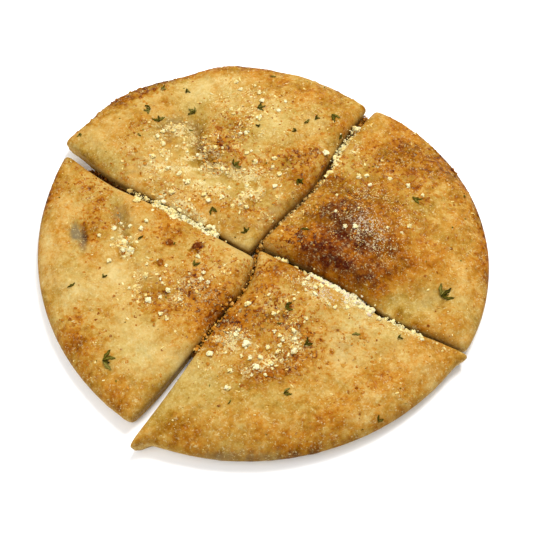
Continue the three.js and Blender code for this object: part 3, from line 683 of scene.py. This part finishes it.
def browning(name, points):
    """How browned the crust is: 0 is the palest, and 1 is burnt, with some painted shade and light.
    """
    x, y, z = points.T
    rim = rim_share(name, x, y)
    border = rim * np.exp(-((inset(name, x, y) / MOTTLED_RIM) ** 2))
    brown = BAKED + layered(x, y, BROWNED) + hills(x, y, BLOTCHES)
    browned = np.clip(brown - PALE, 0, BROWN_RANGE)
    brown += hills(x, y, MOTTLES) * (PALE_MOTTLING + RIM_MOTTLING * border
                                     + BROWN_MOTTLING * browned)
    specks = speckled(x, y) * spotted(x, y, SPECKS) * (1 + hills(x, y, SPECK_HILLS))
    brown += SPECK_BROWN * specks
    outwards = np.clip(1 - inset(name, x, y) / RIM_ROLL, 0, 1)
    scorched = scorching(x, y)
    brown += rim * outwards ** RIM_WIDE * (RIM_BROWN + hills(x, y, RIM_HILLS))
    brown += rim * outwards ** RIM_NARROW * (RIM_BROWN + scorched)
    brown += rim * outwards ** RIM_WIDE * scorched * spotted(x, y, RIM_SPOTS)
    # Painted light: the foot of the rim is made paler where it gets little light.
    brown -= PAINTED_FOOT_LIGHT * rim * np.clip(1 - z / RIM_GIRTH, 0, 1)
    return np.maximum(brown, toast(x, y) + BROWN_UNDER_SPECK * (brown - BAKED))


def scorching(x, y):
    """How browned and blistered the rim is in the direction of points."""
    return sum(dark * np.exp(-(turns_away(x, y, turn) / reach) ** 2)
               for turn, reach, dark in SCORCHED_RIM)


def speckled(x, y):
    """How thickly toasted specks lie, from 0 to 1."""
    thickness = SPECKLED_OVERALL + layered(x, y, SPECKLED) + hills(x, y, SPECKLED_HILLS)
    return np.clip(thickness, 0, 1)


def soaked_and_shaded(points):
    """How far the crust turns from orange to olive, 0 to 1: butter, and painted shade in hollows.
    """
    x, y, z = points.T
    below = SOAKED_BELOW * np.clip(1 - z / SOAKED_HEIGHT, 0, 1)
    share = SOAKED_OVERALL + layered(x, y, SOAKED_AND_SHADED) + below + hills(x, y, SOAKED_HILLS)
    return np.clip(share, 0, 1)


def ashen(x, y):
    """How grey the crust is, mostly as painted shade in hollows and creases, from 0 to nearly 1."""
    return np.clip(layered(x, y, ASHEN) * (1 + hills(x, y, ASHEN_HILLS)), 0, MOST_ASHEN)


def clotting(x, y):
    """How the grated cheese gathers in clumps, around 1."""
    return np.clip(CLOTTING + hills(x, y, CLOTS), 0, THICKEST_CLOT)


def cut_face(name, points):
    """1 on the cut sides below the rounded edge, where the crumb shows, and 0 on the crust."""
    x, y, z = points.T
    cut_share = (1 - rim_share(name, x, y)) ** 0.5
    side = np.clip(CRUMB_INSET - inset(name, x, y), 0, 1) * cut_share
    return np.clip(side * (CUT_GIRTH + CRUMB_ABOVE - z) / CRUMB_EDGE, 0, 1)


# ---- Materials ----
class Shading:
    """A material with one Principled shader, and short ways to add nodes to it."""

    def __init__(self, name, **settings):
        self.material = bpy.data.materials.new(name)
        self.material.use_nodes = True
        self.nodes = self.material.node_tree.nodes
        self.shader = self.nodes["Principled BSDF"]
        for socket, value in settings.items():
            self.shader.inputs[socket.replace("_", " ")].default_value = value

    def give(self, socket, value):
        """Sets a socket to a number or colour, or links it to another node's result."""
        if isinstance(value, bpy.types.NodeSocket):
            self.material.node_tree.links.new(value, socket)
        else:
            socket.default_value = value

    def add(self, kind, result, inputs, **settings):
        """Adds a node of that kind, sets it up and gives its result."""
        node = self.nodes.new("ShaderNode" + kind)
        for setting, value in settings.items():
            setattr(node, setting, value)
        for socket, value in inputs.items():
            self.give(node.inputs[socket], value)
        return node.outputs[result]

    def shade(self, name):
        """A number that the piece keeps at its points."""
        return self.add("Attribute", "Fac", {}, attribute_name=name)

    def grain(self, size, detail=2, roughness=0.55):
        """Random noise around 0.5 whose hills are about that many millimetres across."""
        place = self.add("TexCoord", "Object", {})
        return self.add("TexNoise", "Fac", {"Scale": 1 / (size * MM), "Detail": detail,
                                            "Roughness": roughness, "Vector": place})

    def math(self, operation, *values, clamp=False):
        return self.add("Math", 0, dict(enumerate(values)), operation=operation, use_clamp=clamp)

    def uneven(self, value, strength, middle, *grain):
        """A number from 0 to 1 that a grain makes uneven."""
        swing = self.math("SUBTRACT", self.grain(*grain), middle)
        return self.math("MULTIPLY_ADD", swing, strength, value, clamp=True)

    def between(self, value, low, high):
        """A number as a share of the way from low to high, from 0 to 1."""
        return self.add("MapRange", "Result", {"Value": value, "From Min": low, "From Max": high})

    def ramp(self, value, stops, light=LIGHT_LEVEL):
        """A colour that follows a number: (number, colour) in rising order."""
        node = self.nodes.new("ShaderNodeValToRGB")
        elements = node.color_ramp.elements
        while len(elements) < len(stops):
            elements.new(1)
        for element, (position, colour) in zip(elements, stops):
            element.position = position
            element.color = linear(colour, light, SHINE)
        self.give(node.inputs["Fac"], value)
        return node.outputs["Color"]

    def mix(self, share, a, b):
        return self.add("Mix", "Result", {"Factor": share, "A": a, "B": b}, data_type="RGBA")

    def bump(self, height, distance, strength, under=None):
        """A bump of that many millimetres, on top of another one."""
        inputs = {"Strength": strength, "Distance": distance * MM, "Height": height}
        if under is not None:
            inputs["Normal"] = under
        return self.add("Bump", "Normal", inputs)

    def finish(self, colour, normal):
        self.give(self.shader.inputs["Base Color"], colour)
        self.give(self.shader.inputs["Normal"], normal)
        return self.material


def linear(colour, light=1, shine=0):
    """A display colour, each part from 0 to 255, as the shader's colour under that light."""
    parts = [part / 255 for part in colour]
    parts = [p / 12.92 if p <= 0.04045 else ((p + 0.055) / 1.055) ** 2.4 for p in parts]
    return [max(p - shine, 0.1 * p) / light for p in parts] + [1]


def shown(colour):
    """The shader's colour for what shows in that display colour on top of the bread."""
    return linear(colour, LIGHT_LEVEL, SHINE)


def crust_material():
    """Baked crust: golden, browned and burnt by the shades, toasted in specks and dusted."""
    look = Shading("baked_crust", Roughness=0.6, Specular_IOR_Level=0.03)
    speckled, dusted, powdered = (look.shade(name) for name in ("speckled", "dusted", "powdered"))
    fine = look.math("SUBTRACT", look.grain(1.1, 3, 0.75), 0.5)
    look.give(look.shader.inputs["Roughness"], look.math("MULTIPLY_ADD", fine, 0.5, 0.5))
    brown = look.math("MULTIPLY_ADD", fine, 0.46, look.shade("browning"))
    soaked_and_shaded = look.uneven(look.shade("soaked_and_shaded"), 1.7, 0.5, 4, 4, 0.7)
    ashen = look.uneven(look.shade("ashen"), 0.9, 0.53, 2.6, 3, 0.6)
    # Toasted specks of two sizes, where the grain stands high: size, from, to, how dark.
    for size, low, high, darker in ((3.4, 0.625, 0.65, 0.3), (1.9, 0.635, 0.66, 0.32)):
        toasted = look.math("MULTIPLY_ADD", speckled, 0.07, look.grain(size, 2, 0.5))
        toasted = look.math("MULTIPLY", look.between(toasted, low, high), speckled)
        brown = look.math("MULTIPLY_ADD", toasted, darker, brown)
        soaked_and_shaded = look.math("SUBTRACT", soaked_and_shaded, toasted, clamp=True)
    warm, green = (look.ramp(brown, list(zip(BROWN_STOPS, hues))) for hues in (WARM, GREEN))
    # Olive where butter soaked in, and painted shade in the hollows.
    colour = look.mix(soaked_and_shaded, warm, green)
    # Grey painted shade in hollows and creases.
    colour = look.mix(ashen, colour, shown(ASH))
    pores = look.between(look.grain(1.6, 2, 0.7), 0.42, 0.58)
    crumb = look.mix(pores, shown(CRUMB_HOLLOW), shown(CRUMB))
    colour = look.mix(look.shade("cut_face"), colour, crumb)
    # Flour of the cheese, in clots where it lies thickly and in wisps elsewhere.
    clotted = look.math("MULTIPLY_ADD", dusted, 0.3, look.grain(1.7, 4, 0.8))
    colour = look.mix(look.between(clotted, 0.56, 0.76), colour, shown(FLOUR))
    wisps = look.math("MULTIPLY_ADD", powdered, 0.16, look.grain(0.95, 3, 0.7))
    wisps = look.math("MULTIPLY_ADD", look.grain(3.6), 0.5, wisps)
    wisps = look.math("MULTIPLY", look.between(wisps, 0.875, 0.97), 0.7)
    colour = look.mix(wisps, colour, look.mix(powdered, shown(FLOUR), shown(POWDER)))
    bumps = look.bump(look.grain(1.3, 3, 0.7), 0.4, 0.8)
    return look.finish(colour, look.bump(look.grain(0.45, 1), 0.14, 0.6, bumps))


def cheese_material():
    """Grated hard cheese: cream, a little toasted."""
    look = Shading("grated_cheese", Roughness=0.5, Specular_IOR_Level=0.15, Subsurface_Weight=0.4,
                   Subsurface_Radius=(1, 0.8, 0.5), Subsurface_Scale=0.8 * MM)
    toasted = look.math("MULTIPLY_ADD", look.grain(0.8), 0.5, look.shade("toasted"))
    colour = look.ramp(toasted, CHEESE, GRAIN_LIGHT_LEVEL)
    return look.finish(colour, look.bump(look.grain(0.5), 0.12, 0.7))


def parsley_material():
    """Dried parsley: dull dark green with paler veins, browned edges and some painted greyish
    sheen.
    """
    look = Shading("dried_parsley", Roughness=0.7, Specular_IOR_Level=0.05)
    tone = look.math("MULTIPLY_ADD", look.grain(0.9, 3, 0.6), 0.6, look.shade("leaf"))
    return look.finish(look.ramp(tone, LEAF), look.bump(look.grain(0.4), 0.08, 0.8))


# ---- Toppings ----
def seeded_random(seed):
    """A repeatable source of random numbers from 0 to 1."""
    state = seed
    while True:
        state = state * 16807 % 2147483647
        yield state / 2147483647


def inset_at(name, x, y):
    return float(inset(name, np.array([float(x)]), np.array([float(y)]))[0])


def slice_under(x, y):
    """The slice that a point lies deepest in."""
    return max(SLICES, key=lambda name: inset_at(name, x, y))


def settle(x, y, margin, ends=((0, 0),)):
    """The slice for a topping, and its place, moved in until no edge is near its ends."""
    name = slice_under(x, y)
    heart, _ = heart_of(name)
    place = np.array([x, y], float)
    while min(inset_at(name, place[0] + dx, place[1] + dy) for dx, dy in ends) < margin:
        place += NUDGE * (heart - place) / np.linalg.norm(heart - place)
    return name, place


def all_lumps():
    """The lumps of cheese that the solids have: those that stand out, and then the drifts."""
    random = seeded_random(TOPPING_SEED)
    lumps = list(LUMPS)
    taken = np.array([lump[:3] for lump in LUMPS + PARSLEY], float)
    for at_x, at_y, reach, count in DRIFTS:
        placed = 0
        while placed < count:
            across = (LARGEST_DRIFT_LUMP
                      + (SMALLEST_DRIFT_LUMP - LARGEST_DRIFT_LUMP) * placed / (count - 1))
            angle = next(random) * 2 * pi
            away = reach * next(random) ** 0.5
            x, y = at_x + away * cos(angle), at_y + away * sin(angle)
            gaps = np.hypot(taken[:, 0] - x, taken[:, 1] - y)
            if (np.all(gaps > TOPPING_CLEARANCE * (taken[:, 2] + across))
                    and inset_at(slice_under(x, y), x, y) > across):
                lumps.append((x, y, across))
                taken = np.vstack([taken, [x, y, across]])
                placed += 1
    return lumps


def ball(subdivisions):
    """The points and triangles of a round ball of radius 1."""
    edit = bmesh.new()
    bmesh.ops.create_icosphere(edit, subdivisions=subdivisions, radius=1)
    points = np.array([vertex.co for vertex in edit.verts])
    faces = np.array([[vertex.index for vertex in face.verts] for face in edit.faces])
    edit.free()
    return points, faces


def chunks(middles, sizes, subdivisions, rng, form, rough=0.1):
    """Broken chunks of those sizes and of that length, width and height for each millimetre."""
    points, faces = ball(subdivisions)
    count = len(middles)
    cuts = rng.normal(size=(count, CHUNK_FACETS, 3))
    cuts /= np.linalg.norm(cuts, axis=2, keepdims=True)
    depth = rng.uniform(0.5, 1.0, (count, CHUNK_FACETS, 1))
    facing = np.einsum("kcd,pd->kcp", cuts, points)
    reach = np.where(facing > 0.05, depth / np.maximum(facing, 0.05), 9).min(1)
    reach = np.minimum(reach, 1.15) * rng.uniform(1 - rough, 1 + rough, reach.shape)
    stretch = rng.uniform(0.7, 1.25, (count, 1, 3)) * form
    shaped = points[None] * reach[..., None] * stretch
    return spun(middles, shaped * sizes[:, None, None] / 2, faces, rng)


def spun(middles, shaped, faces, rng):
    """Many small bodies, each turned and put in its place: points, faces, points of each."""
    count, each = shaped.shape[:2]
    spin = rng.uniform(0, 2 * pi, count)
    c, s = np.cos(spin)[:, None], np.sin(spin)[:, None]
    placed = np.stack([shaped[..., 0] * c - shaped[..., 1] * s,
                       shaped[..., 0] * s + shaped[..., 1] * c, shaped[..., 2]], -1)
    numbered = faces[None] + np.arange(count)[:, None, None] * each
    return (middles[:, None] + placed).reshape(-1, 3), numbered.reshape(-1, 3).tolist(), each


def grains(name, bodies, shade, tones):
    """A piece of many small bodies, with one tone for each."""
    points, faces, each = bodies
    piece = mesh_object(name, points, faces)
    keep_shade(piece, shade, np.repeat(tones, each))
    return piece


def on_top(places):
    """Adds the height of the bread to places: those on no slice are left out."""
    x, y = np.asarray(places, float).T
    insets = np.stack([inset(name, x, y) for name in SLICES])
    heights = np.stack([top_height(name, x, y) for name in SLICES])
    deepest = insets.argmax(0)
    picked = np.arange(len(x))
    keep = insets[deepest, picked] > GRAIN_MARGIN
    return np.column_stack([x, y, heights[deepest, picked]])[keep], keep


def cheese_lumps():
    """The coarse lumps of cheese, where the solids have them, each of several bits."""
    rng = np.random.default_rng(7)
    middles, sizes = [], []
    for x, y, across in all_lumps():
        name, place = settle(x, y, LUMP_MARGIN * across)
        height = top_height(name, *place[:, None])[0]
        middles.append([*place, height + LUMP_SUNK * across])
        sizes.append(across)
    middles, sizes = np.repeat(middles, LUMP_BITS, axis=0), np.repeat(sizes, LUMP_BITS)
    first = np.arange(len(sizes)) % LUMP_BITS == 0
    away = np.where(first, 0, rng.uniform(0.2, 0.42, len(sizes))) * sizes
    bearing = rng.uniform(0, 2 * pi, len(sizes))
    middles += np.column_stack([away * np.cos(bearing), away * np.sin(bearing),
                                np.where(first, 0, rng.uniform(-0.15, 0.2, len(sizes))) * sizes])
    sizes *= np.where(first, 0.8, rng.uniform(0.2, 0.5, len(sizes)))
    bodies = chunks(middles, sizes, 2, rng, (1, 1, LUMP_FLATNESS), 0.16)
    return grains("cheese_lumps", bodies, "toasted", rng.uniform(-0.08, 0.34, len(sizes)))


def strewn(rng, drifts, share, thinnest):
    """Places on the bread for fine grains, in clumps within the drifts and thinly elsewhere."""
    tried = rng.uniform(-LOAF_RADIUS, LOAF_RADIUS, (GRAIN_TRIES, 2))
    x, y = tried.T
    density = (thinnest + share * layered(x, y, drifts)) * clotting(x, y)
    tries_each = GRAIN_TRIES / (2 * LOAF_RADIUS) ** 2
    places, _ = on_top(tried[rng.random(GRAIN_TRIES) < density / tries_each])
    return places


def fine_cheese():
    """Fine grated cheese, strewn in drifts and thinly everywhere."""
    rng = np.random.default_rng(11)
    places = strewn(rng, DUSTED, 1.7, 0.006)
    sizes = 0.6 + 1.3 * rng.random(len(places)) ** 3
    bodies = chunks(places, sizes, 1, rng, (1.35, 0.75, 0.6), 0.15)
    return grains("fine_cheese", bodies, "toasted", rng.uniform(0.15, 0.9, len(places)) ** 1.2)


def cheese_dust():
    """The finest cheese, as eight-sided grains: whiter in the powder and in thick drifts."""
    rng = np.random.default_rng(12)
    places = np.concatenate([strewn(rng, DUSTED, 3.6, 0.012), strewn(rng, POWDERED, 1.8, 0)])
    corners = np.array([[1, 0, 0], [0, 1, 0], [-1, 0, 0], [0, -1, 0], [0, 0, 1], [0, 0, -1]])
    faces = np.array([[0, 1, 4], [1, 2, 4], [2, 3, 4], [3, 0, 4],
                      [1, 0, 5], [2, 1, 5], [3, 2, 5], [0, 3, 5]])
    shaped = corners[None] * rng.uniform(0.1, 0.4, (len(places), 6, 1)) * [1.6, 0.8, 0.55]
    bodies = spun(places, shaped, faces, rng)
    powdered = np.clip(layered(*places.T[:2], POWDERED), 0, 0.8)
    dusted = np.clip(layered(*places.T[:2], DUSTED), 0, 1)
    whitened = 2 * np.clip(powdered - 0.15, 0, 1) + 0.4 * dusted
    return grains("cheese_dust", bodies, "toasted",
                  rng.uniform(0.35, 1.05, len(places)) - whitened)


def toasted_bits():
    """Browned bits of cheese and garlic that stick to the crust, in the crag also as painted
    shadow.
    """
    rng = np.random.default_rng(15)
    strewn_places = strewn(rng, SPECKLED, 0.22, 0.004)
    at_x, at_y, radius, dark = np.array(TOASTED, float).T
    spots_with_a_bit, keep = on_top(np.stack([at_x, at_y], 1))
    places = np.concatenate([spots_with_a_bit, strewn_places])
    sizes = np.r_[1.3 * radius[keep], 0.6 + 1.6 * rng.random(len(strewn_places)) ** 2]
    dark = np.r_[0.3 + 0.6 * dark[keep], rng.uniform(0.45, 0.75, len(strewn_places))]
    bodies = chunks(places, sizes, 1, rng, (1.1, 0.9, 0.3), 0.2)
    piece = grains("toasted_bits", bodies, "browning", dark)
    keep_shade(piece, "soaked_and_shaded", np.zeros(len(bodies[0])))
    return piece


def crack_crumbs():
    """Crumbs of cheese that lie heaped in the cracks between the slices."""
    rng = np.random.default_rng(13)
    middles, sizes, tones = [], [], []
    for cut, start, end, left, width, count, toasted in CRACK_CRUMBS:
        along = rng.uniform(start, end, count)
        gathered = 1 + hills(along, np.full(count, left), CRUMB_GATHERING)
        offset = rng.normal(size=count) * width * gathered
        x, y = beside_crack(CUTS[cut], along, left + offset)
        heap = CUT_GIRTH + CRUMB_HEAP + hills(x, y, CRUMB_HEAP_HILLS)
        heap -= rng.random(count) ** 2 * CRUMB_HEAP_DEPTH
        insets = np.stack([inset(name, x, y) for name in SLICES])
        tops = np.stack([top_height(name, x, y) for name in SLICES])
        top = np.take_along_axis(tops, insets.argmax(0)[None], 0)[0]
        height = np.where(insets.max(0) > 0, np.maximum(top, heap), heap)
        middles.append(np.column_stack([x, y, height]))
        sizes.append(0.5 + 2.6 * rng.random(count) ** 5)
        tones.append(toasted + rng.uniform(0, 0.4, count))
    middles, sizes, tones = (np.concatenate(rows) for rows in (middles, sizes, tones))
    bodies = chunks(middles, sizes, 1, rng, (1.2, 0.9, 0.9), 0.15)
    return grains("crack_crumbs", bodies, "toasted", tones)


def beside_crack(shape, along, aside):
    """Places that far out along a cut and that far to the left of its middle line."""
    c, s = cos(radians(shape["turn"])), sin(radians(shape["turn"]))
    left, _ = beside_cut(shape, along * c, along * s)
    aside = aside - left
    return along * c - aside * s, along * s + aside * c


def crack_litter_and_shade():
    """Dark toasted crumbs in the cracks, laid thickly as painted shade that hides the floor."""
    rng = np.random.default_rng(14)
    middles, sizes, tones = [], [], []
    for cut, start, end, count, heap, browned in CRACK_LITTER_AND_SHADE:
        along = rng.uniform(start, end, count)
        across = rng.uniform(0.8, 2.2, count)
        _, half_gap = beside_cut(CUTS[cut], *beside_crack(CUTS[cut], along, 0))
        spot = beside_crack(CUTS[cut], along, rng.uniform(-1, 1, count) * (half_gap + 1))
        middles.append(np.column_stack([*spot, 0.4 * across + rng.random(count) ** 2 * heap]))
        sizes.append(across)
        tones.append(browned + rng.uniform(-0.15, 0.25, count))
    middles, sizes, tones = (np.concatenate(rows) for rows in (middles, sizes, tones))
    bodies = chunks(middles, sizes, 1, rng, (1, 1, 0.8))
    bodies[0][:, 2] = np.maximum(bodies[0][:, 2], LITTER_FLOOR)
    return grains("crack_shade_crumbs", bodies, "browning", tones)


def leaflet(name, place, length, turn, rng):
    """Points, quads and tones of one thin wavy leaflet with a lobed edge."""
    t = np.linspace(0, 1, LEAFLET_STEPS + 1)[:, None]
    side = np.linspace(-1, 1, 5)[None]
    teeth = np.abs((t * 2.5 + 0.25 * side + rng.uniform(0, 1)) % 1 - 0.5) * 2
    tapered = np.sin(pi * (0.03 + 0.95 * t ** 1.3))
    wide = LEAFLET_WIDTH * length / 2 * tapered * (0.45 + 0.55 * teeth)
    bend = 0.14 * length * rng.uniform(-1, 1) * np.sin(pi * t)
    along, across = length * t + 0 * side, wide * side + bend
    c, s = cos(radians(turn)), sin(radians(turn))
    x, y = place[0] + along * c - across * s, place[1] + along * s + across * c
    lift = (0.4 + 0.3 * np.sin(2 * pi * t + rng.uniform(-0.6, 0.6))
            + 0.45 * abs(side) * rng.uniform(-0.3, 1))
    ground = top_height(name, x.ravel(), y.ravel()).reshape(x.shape)
    shell = [np.stack([x, y, ground + lift + rise], -1).reshape(-1, 3)
             for rise in (LEAFLET_THICKNESS / 2, -LEAFLET_THICKNESS / 2)]
    rows, columns = x.shape
    top = grid_faces(0, rows, columns)
    under = grid_faces(rows * columns, rows, columns)[:, ::-1]
    border = [*range(columns), *range(2 * columns - 1, rows * columns, columns),
              *range(rows * columns - 2, (rows - 1) * columns - 1, -1),
              *range((rows - 2) * columns, 0, -columns)]
    around = [[a, b, b + rows * columns, a + rows * columns]
              for a, b in zip(border, border[1:] + border[:1])]
    tone = (0.1 + 0.2 * (abs(side) < 0.1) + 0 * t).ravel() + rng.uniform(-0.15, 0.35)
    return np.concatenate(shell), [*top.tolist(), *under.tolist(), *around], np.tile(tone, 2)


def parsley():
    """The sprigs and flakes of parsley, where the solids have them."""
    rng = np.random.default_rng(17)
    points, faces, tones, count = [], [], [], 0
    for x, y, length, turn, leaflets in PARSLEY:
        bearings = [turn + (i - (leaflets - 1) / 2) * LEAFLET_SPREAD for i in range(leaflets)]
        tips = [(length * cos(radians(b)), length * sin(radians(b))) for b in bearings]
        name, place = settle(x, y, LEAFLET_MARGIN, [(0, 0), *tips])
        lobes = [(bearing, LOBE_LENGTH * length) for bearing in bearings]
        lobes += [(bearing + LEAFLET_SPREAD / 2, SMALL_LOBE_LENGTH * length)
                  for bearing in bearings[:-1]]
        for bearing, reach in lobes:
            leaf_points, leaf_faces, leaf_tones = leaflet(name, place, reach, bearing, rng)
            points.append(leaf_points)
            faces.extend([[corner + count for corner in face] for face in leaf_faces])
            tones.append(leaf_tones)
            count += len(leaf_points)
    piece = mesh_object("parsley_leaves", np.concatenate(points), faces)
    keep_shade(piece, "leaf", np.concatenate(tones))
    merge_seams(piece)
    return piece


def parsley_specks():
    """Crushed bits of parsley, strewn thinly."""
    rng = np.random.default_rng(19)
    places, _ = on_top(rng.uniform(-LOAF_RADIUS, LOAF_RADIUS, (SPECKS_OF_PARSLEY, 2)))
    sizes = 0.5 + 0.9 * rng.random(len(places)) ** 2
    bodies = chunks(places, sizes, 1, rng, (1.3, 0.8, 0.4))
    return grains("parsley_specks", bodies, "leaf", rng.uniform(0.05, 0.5, len(places)))


# ---- The pieces ----
def bread_slice(name, look):
    """One slice of the bread, with the shades of its crust."""
    piece = mesh_object(name.replace("slice", "crust"), *slice_points(name))
    merge_seams(piece)
    points = points_of(piece)
    x, y = points[:, 0], points[:, 1]
    shades = {
        "browning": browning(name, points),
        "soaked_and_shaded": soaked_and_shaded(points),
        "cut_face": cut_face(name, points),
        "dusted": np.clip(DUST_WHITENS * layered(x, y, DUSTED) * clotting(x, y), 0, 1),
        "powdered": np.clip(layered(x, y, POWDERED), 0, 1),
        "ashen": ashen(x, y),
        "speckled": speckled(x, y),
    }
    for shade, values in shades.items():
        keep_shade(piece, shade, values)
    piece.data.materials.append(look)
    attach(piece, "root")
    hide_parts(name)


def strew(look, *toppings):
    """Lays toppings on the bread, with the flat faces of broken bits."""
    for piece in toppings:
        piece.data.shade_flat()
        piece.data.materials.append(look)
        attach(piece, "root")


crust = crust_material()
for slice_name in SLICES:
    bread_slice(slice_name, crust)
strew(cheese_material(), cheese_lumps(), fine_cheese(), cheese_dust(), crack_crumbs())
strew(crust, crack_litter_and_shade(), toasted_bits())
strew(parsley_material(), parsley(), parsley_specks())


# ---- Floor, light and camera ----
def floor():
    look = Shading("floor", Base_Color=linear(FLOOR), Roughness=0.9, Specular_IOR_Level=0.1)
    half = FLOOR_SIZE / 2
    corners = [(-half, -half, 0), (half, -half, 0), (half, half, 0), (-half, half, 0)]
    piece = mesh_object("floor", corners, [[0, 1, 2, 3]])
    piece.data.materials.append(look.material)


def area_light(name, place, size, watts):
    """A soft light that shines on the bread from a place in millimetres."""
    light = bpy.data.lights.new(name, "AREA")
    light.size = size * MM
    light.energy = watts
    holder = bpy.data.objects.new(name, light)
    holder.location = Vector(place) * MM
    holder.rotation_euler = (-Vector(place)).to_track_quat("-Z", "Y").to_euler()
    bpy.context.scene.collection.objects.link(holder)


def camera():
    """The photograph's view: from the front, well above the bread."""
    data = bpy.data.cameras.new("camera")
    data.sensor_width = SENSOR_WIDTH
    data.lens = SENSOR_WIDTH * FOCAL_LENGTH_PIXELS / FRAME_PIXELS
    holder = bpy.data.objects.new("camera", data)
    away = Vector((0, -cos(radians(CAMERA_ELEVATION)), sin(radians(CAMERA_ELEVATION))))
    holder.location = (Vector(CAMERA_AIM) + CAMERA_DISTANCE * away) * MM
    holder.rotation_euler = (-away).to_track_quat("-Z", "Y").to_euler()
    data.clip_start, data.clip_end = CLIP_METRES
    bpy.context.scene.collection.objects.link(holder)
    bpy.context.scene.camera = holder


floor()
for light in LIGHTS:
    area_light(*light)
world = bpy.data.worlds.new("studio")
world.use_nodes = True
world.node_tree.nodes["Background"].inputs["Color"].default_value = (1, 1, 1, 1)
world.node_tree.nodes["Background"].inputs["Strength"].default_value = SURROUNDING_LIGHT
bpy.context.scene.world = world
bpy.context.scene.view_settings.view_transform = "Standard"
camera()
